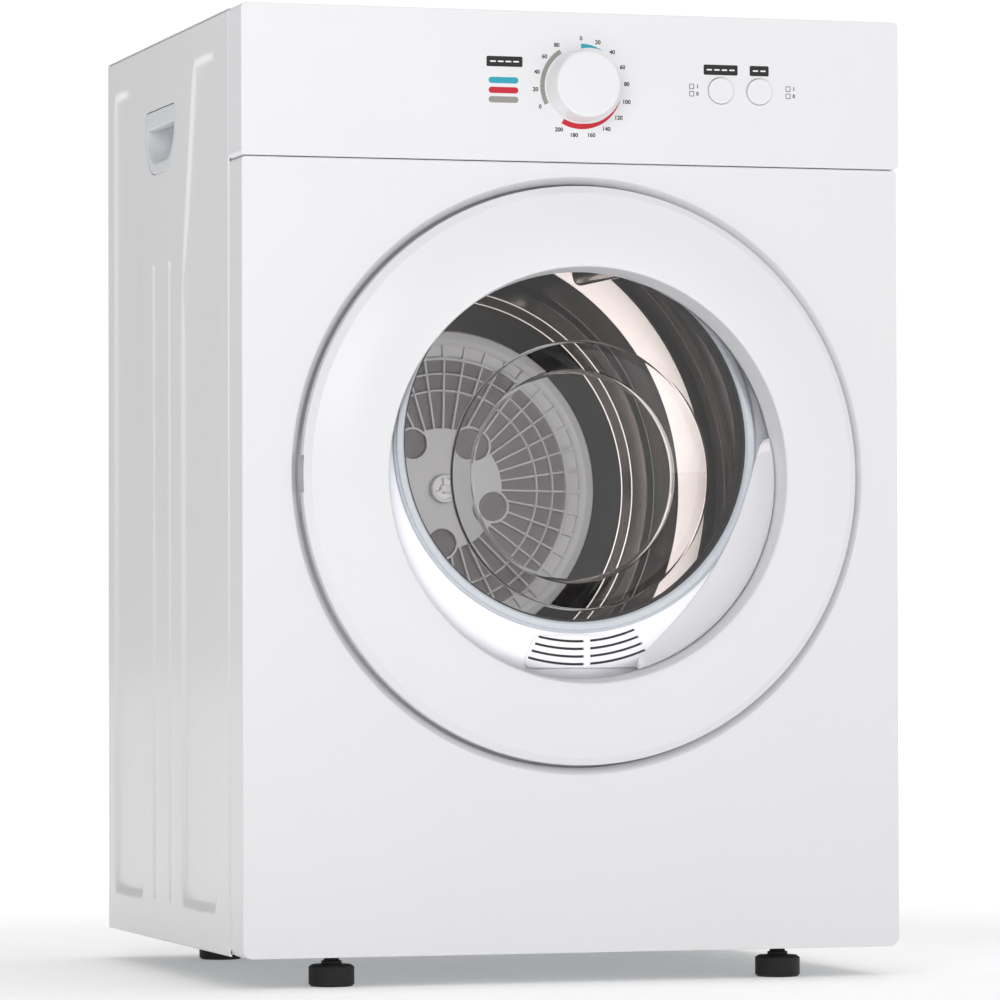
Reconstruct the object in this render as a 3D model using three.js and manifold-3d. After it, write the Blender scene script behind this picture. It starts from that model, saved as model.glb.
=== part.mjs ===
// A compact vented clothes dryer, in millimetres.
// Inside the assembly x runs to the machine's right, y runs back from the front panel's face and
// z runs up from the underside of the cabinet. The last lines stand it on its feet, centred.
import * as THREE from 'three';
import { mergeVertices } from 'three/addons/utils/BufferGeometryUtils.js';
import Module from 'manifold-3d';

const wasm = await Module();
wasm.setup();

// ---- Driving dimensions -------------------------------------------------------------------
const WIDTH = 600;
const DEPTH = 530;
const HEIGHT = 822;
const HALF = WIDTH / 2;
const SHEET = 1;
const GAP = 0.3;

// Sides on a round piece, by its size.
const FINE = 32;
const MIDDLE = 24;
const COARSE = 16;
const TINY = 10;

const FRONT_RETURN = 45;
const FASCIA_BASE = 691.5;
const FASCIA_PROUD = 3;
const FASCIA_WALL = 2.5;
const FASCIA_HALF = HALF + 1;
const FRONT_PANEL_TOP = FASCIA_BASE - 1.5;
const SIDE_FRONT = FRONT_RETURN + 1;
const SIDE_FLANGE = 16;

const AXIS_X = 5;
const AXIS_Z = 416.5;
const RECESS_RADIUS = 262;
const RECESS_FLOOR_RADIUS = 258;
const RECESS_DEPTH = 15;
const PANEL_HOLE_RADIUS = 215;

const RING_RADIUS = 253;
const RING_BEVEL_RADIUS = 246;
const RING_EDGE_Y = -6;
const RING_BACK_Y = 8;
const DOOR_PROUD = 27;
const WINDOW_RADIUS = 178;
const WINDOW_LIP_RADIUS = 181;
const RING_WALL = 2.5;
const GLASS_Y = 2.3;
const GLASS_WALL = 3;
const GLASS_RADIUS = 183.5;
const DISH_MOUTH_RADIUS = 117;
const DISH_FLOOR_RADIUS = 92;
const DISH_DEPTH = 25;
const DOOR_FRAME_Y = RING_BACK_Y + GAP;
const DOOR_FRAME_WALL = 3;

const HINGE_X = AXIS_X - 240;
const HINGE_Y = -2;
const KNUCKLE_RADIUS = 3.5;
const HINGE_PIN_RADIUS = 1.8;
const HINGE_HALF = 34;
const HINGE_ARM_HALF = 14;

const LATCH_X = AXIS_X + 240;

const MOUTH_RADIUS = 157;
const MOUTH_GASKET_RADIUS = 167;
const MOUTH_RISE = 29;
const COLLAR_RADIUS = 228;
const COLLAR_Y = RECESS_DEPTH + SHEET + GAP;
const COLLAR_WALL = 2.5;
const NECK_RADIUS = 203;
const NECK_END_Y = 50;

const DRUM_RADIUS = 270;
const DRUM_MOUTH_RADIUS = 208;
const DRUM_FRONT_Y = 42;
const DRUM_END_Y = 437;
const DRUM_SHEET = 1;
const BACK_DISC_Y = 447.5;
const BACK_HOLE_RADIUS = 128;
const GRILLE_RADIUS = 152;
const GRILLE_HUB_RADIUS = 62;
const GRILLE_RIBS = 12;
const PETAL_COUNT = 5;
const PETAL_START = (53 * Math.PI) / 180;
const PETAL_REACH = 47;
const PETAL_RADIUS = 11;
const SHAFT_RADIUS = 9;
const SHAFT_END_Y = 526;
const LIFTER_COUNT = 3;
const LIFTER_LENGTH = 300;
const LIFTER_HEIGHT = 44;
const LIFTER_BASE = 64;
const LIFTER_WALL = 2;

const BULKHEAD_Y = 464;
const FAN_HOUSING_RADIUS = 185;
const FAN_HOUSING_FRONT_Y = BULKHEAD_Y + 1.5;
const FAN_HOUSING_BACK_Y = 503;
const FAN_RADIUS = 158;
const FAN_BLADES = 12;
const FAN_BELT_Y = 509;
const FAN_PULLEY_RADIUS = 20;

const MOTOR_X = 175;
const MOTOR_Z = 85;
const MOTOR_RADIUS = 48;
const MOTOR_FRONT_Y = 335;
const MOTOR_BACK_Y = 440;
const MOTOR_SHAFT_RADIUS = 5;
const DRIVE_PULLEY_RADIUS = 8;
const DRUM_BELT_Y = 316;
const BELT_THICKNESS = 3;

const IDLER_RADIUS = 15;
const IDLER_PIVOT_X = -20;
const IDLER_PIVOT_Z = 60;

const EXHAUST_X = -170;
const EXHAUST_Z = 115;
const EXHAUST_RADIUS = 50;
const EXHAUST_END_Y = DEPTH + 30;
const REAR_COVER_RADIUS = 168;
const CORD_X = 230;
const CORD_Z = 700;
const VENT_ROWS = 8;
const VENT_PITCH = 14;
const SERVICE_HOLE_RADIUS = 146;

const KNOB_Z = 757;
const KNOB_RADIUS = 31;
const KNOB_FACE_RADIUS = 29.5;
const BUTTON_Z = 756.5;
const BUTTON_RADIUS = 11.5;
const BUTTON_PROUD = 2.5;
const BUTTONS = { sensor: 134, mode: 170 };

const HANDLE_Y = 307;
const HANDLE_Z = 730;
const HANDLE_LENGTH = 130;
const HANDLE_HEIGHT = 60;
const HANDLE_DEPTH = 30;

const FOOT_HEIGHT = 28;
const FOOT_RADIUS = 20;
const FOOT_STEM_RADIUS = 7;
const FOOT_X = 206;
const FOOT_FRONT_Y = 60;
const FOOT_BACK_Y = 470;

// ---- Materials ------------------------------------------------------------------------------
const finish = (color, roughness, metalness) =>
  new THREE.MeshStandardMaterial({ color, roughness, metalness });
const ENAMEL = finish(0xf2f2f4, 0.35, 0.1);
const GALVANISED = finish(0xa8adb0, 0.5, 0.8);
const WHITE_PLASTIC = finish(0xf4f4f6, 0.25, 0);
const CLEAR = new THREE.MeshStandardMaterial({
  color: 0xdfe4ea, roughness: 0.05, metalness: 0, transparent: true, opacity: 0.3,
});
const GREY_SEAL = finish(0xb4b8ba, 0.7, 0);
const STAINLESS = finish(0x9a9690, 0.12, 1);
const GREY_PLASTIC = finish(0x8d8d8f, 0.5, 0);
const BLACK_RUBBER = finish(0x17181a, 0.85, 0);
const BLACK_PLASTIC = finish(0x202224, 0.6, 0);
const STEEL = finish(0x8c8f93, 0.35, 0.9);
const ALUMINIUM = finish(0xb9bcc0, 0.4, 0.9);
const FELT = finish(0xc8c2b4, 0.95, 0);

// ---- Solids ---------------------------------------------------------------------------------
// Six times the signed volume: negative where the faces point inwards.
function turnedInwards(position, triangles) {
  const [a, b, c] = [new THREE.Vector3(), new THREE.Vector3(), new THREE.Vector3()];
  let total = 0;
  for (let i = 0; i < triangles.length; i += 3) {
    a.fromArray(position, 3 * triangles[i]);
    b.fromArray(position, 3 * triangles[i + 1]);
    c.fromArray(position, 3 * triangles[i + 2]);
    total += a.dot(b.cross(c));
  }
  return total < 0;
}

// A closed three.js geometry as a solid, welded, without the slivers at a lathe's poles.
function solid(geometry) {
  const bare = geometry.clone();
  bare.deleteAttribute('normal');
  bare.deleteAttribute('uv');
  const welded = mergeVertices(bare, 1e-3);
  const position = welded.attributes.position.array;
  const triangles = [];
  for (let i = 0; i < welded.index.count; i += 3) {
    const corners = [0, 1, 2].map((k) => welded.index.getX(i + k));
    if (new Set(corners).size === 3) triangles.push(...corners);
  }
  if (turnedInwards(position, triangles)) triangles.reverse();
  return new wasm.Manifold(new wasm.Mesh({
    numProp: 3,
    vertProperties: new Float32Array(position),
    triVerts: new Uint32Array(triangles),
  }));
}

const join = (first, ...others) => others.reduce((whole, part) => whole.add(part), first);
const cut = (first, ...others) => others.reduce((whole, part) => whole.subtract(part), first);

function block(x0, x1, y0, y1, z0, z1) {
  const box = new THREE.BoxGeometry(x1 - x0, y1 - y0, z1 - z0);
  return solid(box.translate((x0 + x1) / 2, (y0 + y1) / 2, (z0 + z1) / 2));
}

// A solid of revolution about an axis along y; each profile point is [radius, y].
function turned(profile, segments, x = AXIS_X, z = AXIS_Z) {
  const points = profile.map(([radius, y]) => new THREE.Vector2(radius, y));
  return solid(new THREE.LatheGeometry(points, segments).translate(x, 0, z));
}

// A tube or washer about an axis along y, from its two radii and two ends.
function washer(inner, outer, y0, y1, segments, x = AXIS_X, z = AXIS_Z) {
  const section = [[inner, y0], [outer, y0], [outer, y1], [inner, y1], [inner, y0]];
  return turned(section, segments, x, z);
}

// The largest radius that turns freely inside a bore of this radius with flat sides.
const clearOf = (radius) => radius * Math.cos(Math.PI / FINE) - GAP;

function rod(radius, y0, y1, segments, x = AXIS_X, z = AXIS_Z) {
  const cylinder = new THREE.CylinderGeometry(radius, radius, y1 - y0, segments);
  return solid(cylinder.translate(x, (y0 + y1) / 2, z));
}

function upright(radius, z0, z1, segments, x, y) {
  const cylinder = new THREE.CylinderGeometry(radius, radius, z1 - z0, segments);
  return solid(cylinder.rotateX(Math.PI / 2).translate(x, y, (z0 + z1) / 2));
}

// A sheet profile: the given line from the outside, and the same line moved in by the wall.
function walled(line, wall) {
  const inner = line.map(([radius, y], i) => {
    const [before, after] = [line[Math.max(i - 1, 0)], line[Math.min(i + 1, line.length - 1)]];
    const run = new THREE.Vector2(after[0] - before[0], after[1] - before[1]).normalize();
    return [radius - run.y * wall, y + run.x * wall];
  });
  return [...line, ...inner.reverse(), line[0]];
}

// An outline in the front view (x, z), pushed from y0 back to y1.
function frontPlate(outline, y0, y1) {
  const options = { depth: y1 - y0, bevelEnabled: false, curveSegments: 5 };
  const plate = new THREE.ExtrudeGeometry(outline, options);
  const turn = new THREE.Matrix4().makeBasis(
    new THREE.Vector3(1, 0, 0), new THREE.Vector3(0, 0, 1), new THREE.Vector3(0, -1, 0));
  return solid(plate.applyMatrix4(turn).translate(0, y1, 0));
}

// An outline in the side view (y, z), pushed from x0 to x1.
function sidePlate(outline, x0, x1) {
  const options = { depth: x1 - x0, bevelEnabled: false, curveSegments: 4 };
  const plate = new THREE.ExtrudeGeometry(outline, options);
  const turn = new THREE.Matrix4().makeBasis(
    new THREE.Vector3(0, 1, 0), new THREE.Vector3(0, 0, 1), new THREE.Vector3(1, 0, 0));
  return solid(plate.applyMatrix4(turn).translate(x0, 0, 0));
}

// A rectangle with its upper and its lower corners rounded.
function roundedRectangle(u0, u1, v0, v1, lower, upper) {
  const outline = new THREE.Shape();
  outline.moveTo(u0 + lower, v0);
  outline.lineTo(u1 - lower, v0);
  outline.absarc(u1 - lower, v0 + lower, lower, -Math.PI / 2, 0);
  outline.lineTo(u1, v1 - upper);
  outline.absarc(u1 - upper, v1 - upper, upper, 0, Math.PI / 2);
  outline.lineTo(u0 + upper, v1);
  outline.absarc(u0 + upper, v1 - upper, upper, Math.PI / 2, Math.PI);
  outline.lineTo(u0, v0 + lower);
  outline.absarc(u0 + lower, v0 + lower, lower, Math.PI, 1.5 * Math.PI);
  return outline;
}

// ---- The assembly ---------------------------------------------------------------------------
const assembly = new THREE.Group();

function piece(name, body, material) {
  const mesh = body.getMesh();
  const geometry = new THREE.BufferGeometry();
  geometry.setAttribute('position', new THREE.BufferAttribute(mesh.vertProperties, 3));
  geometry.setIndex(new THREE.BufferAttribute(mesh.triVerts, 1));
  const flat = geometry.toNonIndexed();
  flat.computeVertexNormals();
  const item = new THREE.Mesh(flat, material);
  item.name = name;
  assembly.add(item);
}

// ---- Cabinet --------------------------------------------------------------------------------
// The D-shaped outline of a hand hold: square above, round below.
function handleOutline(inset) {
  const half = HANDLE_LENGTH / 2 - inset;
  return roundedRectangle(HANDLE_Y - half, HANDLE_Y + half, HANDLE_Z - HANDLE_HEIGHT / 2 + inset,
    HANDLE_Z + HANDLE_HEIGHT / 2 - inset, 40 - inset, 8 - inset / 2);
}

function addSidePanels() {
  const top = HEIGHT - SHEET - GAP;
  const back = DEPTH - SHEET - GAP;
  for (const [name, side] of [['left', -1], ['right', 1]]) {
    const [outer, inner] = [side * HALF, side * (HALF - SIDE_FLANGE)];
    const [low, high] = [Math.min(outer, inner), Math.max(outer, inner)];
    const hollowLow = side < 0 ? low + SHEET : low - SHEET;
    const hollowHigh = side < 0 ? high + SHEET : high - SHEET;
    const shell = block(low, high, SIDE_FRONT, back, 0, top);
    const hollow = block(hollowLow, hollowHigh, SIDE_FRONT + SHEET, back + SHEET, SHEET, top - SHEET);
    const window = sidePlate(handleOutline(2), Math.min(outer, inner) - 1, Math.max(outer, inner) + 1);
    piece(`side_panel_${name}`, cut(shell, hollow, window), ENAMEL);
    piece(`handle_cup_${name}`, handleCup(side), WHITE_PLASTIC);
  }
}

// A cup pressed in through the side panel: a thin rim that stands just inside the sheet, walls
// and a floor, open to the outside.
function handleCup(side) {
  const mouth = side * (HALF - SHEET - GAP);
  const floor = side * (HALF - SHEET - GAP - HANDLE_DEPTH);
  const span = (a, b) => [Math.min(a, b), Math.max(a, b)];
  const rim = sidePlate(handleOutline(-5), ...span(mouth, mouth - side * 2));
  const body = sidePlate(handleOutline(-1), ...span(mouth, floor));
  const hollow = sidePlate(handleOutline(1.5), ...span(mouth + side, floor + side * 2));
  return cut(join(rim, body), hollow);
}

function addFrontPanel() {
  const outline = roundedRectangle(-HALF, HALF, 0, FRONT_PANEL_TOP, 10, 0.5);
  const inside = roundedRectangle(-HALF + SHEET, HALF - SHEET, SHEET, FRONT_PANEL_TOP - SHEET, 9, 0.5);
  const tray = cut(frontPlate(outline, 0, FRONT_RETURN), frontPlate(inside, SHEET, FRONT_RETURN + 1));
  const opened = cut(tray, rod(RECESS_RADIUS, -1, 2, FINE));
  const recess = turned([
    [RECESS_RADIUS, 0],
    [RECESS_FLOOR_RADIUS, RECESS_DEPTH],
    [PANEL_HOLE_RADIUS, RECESS_DEPTH],
    [PANEL_HOLE_RADIUS, RECESS_DEPTH + SHEET],
    [RECESS_FLOOR_RADIUS + SHEET, RECESS_DEPTH + SHEET],
    [RECESS_RADIUS + SHEET, SHEET],
    [RECESS_RADIUS + SHEET, 0],
    [RECESS_RADIUS, 0],
  ], FINE);
  const latchSlot = block(LATCH_X - 7, LATCH_X + 7, RECESS_DEPTH - 2, RECESS_DEPTH + 3,
    AXIS_Z - 11, AXIS_Z + 11);
  piece('front_panel', cut(join(opened, recess), latchSlot), ENAMEL);
}

function addTopCover() {
  const skirt = SIDE_FLANGE + GAP;
  const plate = block(-HALF, HALF, SIDE_FRONT, DEPTH, HEIGHT - SHEET, HEIGHT);
  const frame = block(-HALF + skirt, HALF - skirt, 60, 515, HEIGHT - 16, HEIGHT - SHEET / 2);
  const inside = block(-HALF + skirt + SHEET, HALF - skirt - SHEET, 60 + SHEET, 515 - SHEET,
    HEIGHT - 17, HEIGHT - SHEET);
  piece('top_cover', join(plate, cut(frame, inside)), ENAMEL);
}

function addRearPanel() {
  const plate = block(-HALF, HALF, DEPTH - SHEET, DEPTH, 0, HEIGHT - SHEET - GAP);
  const holes = [
    rod(EXHAUST_RADIUS + 3, DEPTH - 3, DEPTH + 2, COARSE, EXHAUST_X, EXHAUST_Z),
    rod(SERVICE_HOLE_RADIUS, DEPTH - 3, DEPTH + 2, MIDDLE),
    rod(8.6, DEPTH - 3, DEPTH + 2, TINY, CORD_X, CORD_Z),
  ];
  for (let row = 0; row < VENT_ROWS; row += 1) {
    const z = 60 + VENT_PITCH * row;
    holes.push(block(60, 130, DEPTH - 3, DEPTH + 2, z, z + 5));
  }
  piece('rear_panel', cut(plate, ...holes), ENAMEL);
}

function addRearCover() {
  const line = [[REAR_COVER_RADIUS, DEPTH + GAP + 2], [150, DEPTH + GAP + 2], [122, DEPTH + 20],
    [0, DEPTH + 20]];
  const inner = [[0, DEPTH + 18], [121, DEPTH + 18], [149, DEPTH + GAP],
    [REAR_COVER_RADIUS, DEPTH + GAP]];
  piece('rear_cover', turned([...line, ...inner, line[0]], MIDDLE), ENAMEL);
}

function addBasePan() {
  const half = HALF - SIDE_FLANGE - GAP;
  const [floor, top, front, back] = [SHEET + GAP, 25, 3, DEPTH - SHEET - 2 * GAP];
  const tray = cut(block(-half, half, front, back, floor, top),
    block(-half + SHEET, half - SHEET, front + SHEET, back - SHEET, floor + SHEET, top + 1));
  const holes = [];
  for (const x of [-FOOT_X, FOOT_X]) {
    for (const y of [FOOT_FRONT_Y, FOOT_BACK_Y]) holes.push(upright(5.4, -5, 10, TINY, x, y));
  }
  piece('base_pan', cut(tray, ...holes), GALVANISED);
}

function addFeet() {
  for (const [end, y] of [['front', FOOT_FRONT_Y], ['rear', FOOT_BACK_Y]]) {
    for (const [side, x] of [['left', -FOOT_X], ['right', FOOT_X]]) {
      const pad = upright(FOOT_RADIUS, -FOOT_HEIGHT, -9, COARSE, x, y);
      const collar = upright(FOOT_STEM_RADIUS, -10, -GAP, TINY, x, y);
      const thread = upright(5, -1, 24, TINY, x, y);
      piece(`foot_${end}_${side}`, join(pad, collar, thread), BLACK_RUBBER);
    }
  }
}

// ---- Controls -------------------------------------------------------------------------------
function addFascia() {
  const front = -FASCIA_PROUD;
  const outline = roundedRectangle(-FASCIA_HALF, FASCIA_HALF, FASCIA_BASE, HEIGHT, 1, 4);
  const inside = roundedRectangle(-FASCIA_HALF + FASCIA_WALL, FASCIA_HALF - FASCIA_WALL,
    FASCIA_BASE + FASCIA_WALL, HEIGHT - FASCIA_WALL, 1, 2);
  const shell = cut(frontPlate(outline, front, FRONT_RETURN),
    frontPlate(inside, front + FASCIA_WALL, FRONT_RETURN + 1));
  const holes = [rod(5, front - 1, 5, TINY, AXIS_X, KNOB_Z)];
  for (const x of Object.values(BUTTONS)) {
    holes.push(rod(BUTTON_RADIUS + 0.4, front - 1, 5, COARSE, x, BUTTON_Z));
  }
  piece('control_panel', cut(shell, ...holes), WHITE_PLASTIC);
}

const FASCIA_BACK_Y = FASCIA_WALL - FASCIA_PROUD;

function addTimer() {
  const face = -DOOR_PROUD;
  const back = -FASCIA_PROUD - 0.4;
  const cap = turned([
    [0, face], [26, face + 0.3], [28.6, face + 1.2], [KNOB_FACE_RADIUS, face + 3],
    [KNOB_RADIUS, back], [KNOB_RADIUS - 2.5, back], [KNOB_FACE_RADIUS - 2.5, face + 4],
    [7, face + 4], [7, back], [3.3, back], [3.3, face + 4], [0, face + 4],
  ], COARSE, AXIS_X, KNOB_Z);
  const spindle = rod(3.4, face + 3, 8, TINY, AXIS_X, KNOB_Z);
  piece('timer_knob', join(cap, spindle), WHITE_PLASTIC);
  const front = FASCIA_BACK_Y + GAP;
  const body = join(
    rod(26, front, 30, COARSE, AXIS_X, KNOB_Z),
    block(AXIS_X - 18, AXIS_X + 18, 20, 44, KNOB_Z - 18, KNOB_Z + 18),
  );
  piece('timer_unit', cut(body, rod(3.8, front - 1, 9, TINY, AXIS_X, KNOB_Z)), BLACK_PLASTIC);
}

function addButtons() {
  const face = -FASCIA_PROUD - BUTTON_PROUD;
  for (const [name, x] of Object.entries(BUTTONS)) {
    const cap = turned([
      [0, face], [BUTTON_RADIUS - 1.5, face], [BUTTON_RADIUS, face + 1.2], [BUTTON_RADIUS, 2],
      [BUTTON_RADIUS + 2, 2], [BUTTON_RADIUS + 2, 4], [4, 4], [4, 12.5], [0, 12.5],
    ], COARSE, x, BUTTON_Z);
    piece(`${name}_button`, cap, WHITE_PLASTIC);
  }
  const [low, high] = [BUTTON_Z - 12, BUTTON_Z + 12];
  const switches = Object.values(BUTTONS).map((x) => block(x - 9, x + 9, 16, 27, low, high));
  const board = block(112, 192, 26, 28, low - 10, high + 10);
  piece('switch_board', join(board, ...switches), BLACK_PLASTIC);
}

// ---- Door -----------------------------------------------------------------------------------
function hingeRelief() {
  return block(AXIS_X - RING_RADIUS - 1, HINGE_X + 8, RING_EDGE_Y + 0.6, DOOR_FRAME_Y + 5,
    AXIS_Z - HINGE_ARM_HALF - 2, AXIS_Z + HINGE_ARM_HALF + 2);
}

// The white ring: a domed face that rises to the window, a bevelled rim and a short inner wall.
function addDoorRing() {
  const lip = -DOOR_PROUD;
  const section = [
    [WINDOW_RADIUS, GLASS_Y - GAP],
    [WINDOW_LIP_RADIUS - 1, lip + 2],
    [WINDOW_LIP_RADIUS + 1, lip],
    [205, lip + 2.5],
    [228, lip + 8.5],
    [RING_BEVEL_RADIUS, RING_EDGE_Y - 5.5],
    [RING_RADIUS, RING_EDGE_Y],
    [RING_RADIUS, RING_BACK_Y],
    [RING_RADIUS - RING_WALL, RING_BACK_Y],
    [RING_RADIUS - RING_WALL, RING_EDGE_Y + 1.8],
    [RING_BEVEL_RADIUS - 1.2, RING_EDGE_Y - 3],
    [227, lip + 11],
    [204, lip + 5],
    [WINDOW_LIP_RADIUS + 3, lip + 3.5],
    [WINDOW_RADIUS + RING_WALL, GLASS_Y - GAP],
    [WINDOW_RADIUS, GLASS_Y - GAP],
  ];
  piece('door_outer_ring', cut(turned(section, FINE), hingeRelief()), WHITE_PLASTIC);
}

function addDoorFrame() {
  const lipRadius = WINDOW_RADIUS + 1.5;
  const seat = GLASS_Y + GLASS_WALL + GAP;
  const back = DOOR_FRAME_Y + DOOR_FRAME_WALL;
  const section = [
    [lipRadius, seat], [GLASS_RADIUS + 2.5, seat], [GLASS_RADIUS + 2.5, DOOR_FRAME_Y],
    [RING_RADIUS - 4, DOOR_FRAME_Y], [RING_RADIUS - 4, back], [lipRadius, back], [lipRadius, seat],
  ];
  piece('door_inner_frame', cut(turned(section, FINE), hingeRelief()), WHITE_PLASTIC);
  const sealFront = back + GAP;
  piece('door_seal', washer(220, 228, sealFront, RECESS_DEPTH - GAP, FINE), GREY_SEAL);
}

// The clear window: a flat margin and a shallow dish that reaches in towards the drum.
function addDoorGlass() {
  const front = [[0, GLASS_Y + DISH_DEPTH], [DISH_FLOOR_RADIUS, GLASS_Y + DISH_DEPTH],
    [DISH_MOUTH_RADIUS, GLASS_Y], [GLASS_RADIUS, GLASS_Y]];
  const back = [[GLASS_RADIUS, GLASS_Y + GLASS_WALL], [DISH_MOUTH_RADIUS + 1.5, GLASS_Y + GLASS_WALL],
    [DISH_FLOOR_RADIUS + 1.5, GLASS_Y + DISH_DEPTH + GLASS_WALL],
    [0, GLASS_Y + DISH_DEPTH + GLASS_WALL]];
  piece('door_glass', turned([...front, ...back], FINE), CLEAR);
}

// The finger pull: a clear crescent at the lower right, just inside the ring.
function addDoorPull() {
  const [front, back] = [GLASS_Y - 2.8, GLASS_Y - GAP];
  const disc = rod(WINDOW_RADIUS - 0.6, front, back, FINE);
  const clearing = rod(WINDOW_RADIUS, front - 1, back + 1, FINE, AXIS_X - 10, AXIS_Z + 9);
  piece('door_pull', cut(disc, clearing), CLEAR);
}

function addDoorHinge() {
  const [low, high] = [AXIS_Z - HINGE_HALF, AXIS_Z + HINGE_HALF];
  const arm = [AXIS_Z - HINGE_ARM_HALF, AXIS_Z + HINGE_ARM_HALF];
  const plate = block(AXIS_X - 254, AXIS_X - 232, RECESS_DEPTH - 1.8, RECESS_DEPTH - GAP, low, high);
  const strap = block(HINGE_X - 1, HINGE_X + 1, HINGE_Y, RECESS_DEPTH - 1, ...arm);
  const knuckle = upright(KNUCKLE_RADIUS, ...arm, TINY, HINGE_X, HINGE_Y);
  const bore = upright(HINGE_PIN_RADIUS + GAP, low - 2, high + 2, TINY, HINGE_X, HINGE_Y);
  const pin = upright(HINGE_PIN_RADIUS, low, high, TINY, HINGE_X, HINGE_Y);
  piece('hinge_bracket', join(plate, strap, knuckle, pin), STEEL);

  const leafBack = DOOR_FRAME_Y - GAP;
  const slot = block(HINGE_X - 6, HINGE_X + 6, HINGE_Y - 6, leafBack + 1, arm[0] - 0.5, arm[1] + 0.5);
  const barrel = upright(KNUCKLE_RADIUS, low, high, TINY, HINGE_X, HINGE_Y);
  const web = block(HINGE_X - 1.5, HINGE_X + 1.5, HINGE_Y, leafBack, low, high);
  const leaf = block(HINGE_X - 1.5, HINGE_X + 34, leafBack - 1.7, leafBack, low, high);
  piece('hinge_leaf', cut(join(barrel, web, leaf), slot, bore), STEEL);
}

function addDoorLatch() {
  const frameBack = DOOR_FRAME_Y + DOOR_FRAME_WALL + GAP;
  const foot = block(LATCH_X - 6, LATCH_X + 3, frameBack, frameBack + 2, AXIS_Z - 9, AXIS_Z + 9);
  const stem = block(LATCH_X - 2, LATCH_X + 1.5, frameBack, 34, AXIS_Z - 6, AXIS_Z + 6);
  const hook = block(LATCH_X - 2, LATCH_X + 4, 29, 34, AXIS_Z - 6, AXIS_Z + 6);
  piece('door_latch_hook', join(foot, stem, hook), WHITE_PLASTIC);
  const front = RECESS_DEPTH + SHEET + GAP;
  const housing = cut(
    block(LATCH_X - 10, LATCH_X + 12, front, 46, AXIS_Z - 20, AXIS_Z + 20),
    block(LATCH_X - 7.5, LATCH_X + 9.5, front - 1, 43.5, AXIS_Z - 11, AXIS_Z + 11),
  );
  piece('latch_receiver', housing, BLACK_PLASTIC);
}

// ---- Drum mouth, hot air inlet and heater ---------------------------------------------------
const INLET_X = AXIS_X + 9;
const INLET_LOW = 246;
const INLET_HIGH = 277;
const INLET_ROWS = 4;
const INLET_PITCH = 6.9;
const DUCT_BACK_Y = 40;

// The inlet's outline: a trapezium, wider below.
function inletOutline(grow) {
  const outline = new THREE.Shape();
  outline.moveTo(INLET_X - 61 - grow, INLET_LOW - grow);
  outline.lineTo(INLET_X + 61 + grow, INLET_LOW - grow);
  outline.lineTo(INLET_X + 46 + grow, INLET_HIGH + grow);
  outline.lineTo(INLET_X - 46 - grow, INLET_HIGH + grow);
  outline.closePath();
  return outline;
}

function addFrontCollar() {
  const back = COLLAR_Y + COLLAR_WALL;
  const plate = rod(COLLAR_RADIUS, COLLAR_Y, back, FINE);
  const neck = washer(NECK_RADIUS - 3, NECK_RADIUS, back - 0.5, NECK_END_Y, FINE);
  const mouthZ = AXIS_Z + MOUTH_RISE;
  const mouth = rod(MOUTH_GASKET_RADIUS + GAP, COLLAR_Y - 1, back + 1, FINE, AXIS_X, mouthZ);
  const inlet = frontPlate(inletOutline(GAP), COLLAR_Y - 1, back + 1);
  const [low, high] = [AXIS_Z - 210, AXIS_Z - 150];
  const ductWay = block(INLET_X - 66, INLET_X + 66, back + 0.01, DUCT_BACK_Y + 1, low, high);
  piece('front_collar', cut(join(plate, neck), mouth, inlet, ductWay), WHITE_PLASTIC);
  const gasket = washer(MOUTH_RADIUS, MOUTH_GASKET_RADIUS, 12, back, FINE, AXIS_X, mouthZ);
  piece('mouth_gasket', gasket, GREY_SEAL);
  const felt = washer(NECK_RADIUS + GAP, clearOf(DRUM_MOUTH_RADIUS - DRUM_SHEET), 43, 49, FINE);
  piece('front_felt', felt, FELT);
}

// The grille: four rows of slots that follow the door's curve, in two halves.
function addInletGrille() {
  const [front, back] = [COLLAR_Y, COLLAR_Y + COLLAR_WALL];
  const plate = frontPlate(inletOutline(0), front, back);
  const slots = [];
  for (let row = 0; row < INLET_ROWS; row += 1) {
    const z = INLET_LOW + 5 + INLET_PITCH * row;
    const reach = 55 - 4 * row;
    for (const side of [-1, 1]) {
      const [a, b] = [INLET_X + side * 3, INLET_X + side * reach];
      slots.push(block(Math.min(a, b), Math.max(a, b), front - 1, back + 1, z - 1.1, z + 1.1));
    }
  }
  piece('inlet_grille', cut(plate, ...slots), WHITE_PLASTIC);
}

function addAirDuct() {
  const front = COLLAR_Y + COLLAR_WALL + GAP;
  const duct = cut(
    block(INLET_X - 64, INLET_X + 64, front, DUCT_BACK_Y, 160, INLET_HIGH + 4),
    block(INLET_X - 62, INLET_X + 62, front - 1, DUCT_BACK_Y - 2, 159, INLET_HIGH + 2),
    block(INLET_X - 63, INLET_X + 63, front - 1, front + 0.5, 159, INLET_LOW - 4),
  );
  const wall = block(INLET_X - 64, INLET_X + 64, front, front + 2, 160, INLET_LOW - 4);
  piece('air_duct', join(duct, wall), BLACK_PLASTIC);
}

function addHeater() {
  const [low, high] = [40, 160 - GAP];
  const casing = cut(
    block(INLET_X - 70, INLET_X + 70, 20, 50, low, high),
    block(INLET_X - 68.5, INLET_X + 68.5, 21.5, 48.5, low + 10, high + 1),
    block(INLET_X - 60, INLET_X + 60, 25, 45, low - 1, low + 11),
  );
  piece('heater_box', casing, GALVANISED);
  const core = block(INLET_X - 64, INLET_X + 64, 24, 46, 70, 126);
  const channels = [];
  for (let k = 0; k < 9; k += 1) {
    const x = INLET_X - 58 + 13 * k;
    channels.push(block(x, x + 8, 26, 44, 69, 127));
  }
  piece('heater_element', cut(core, ...channels), ALUMINIUM);
}

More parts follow.
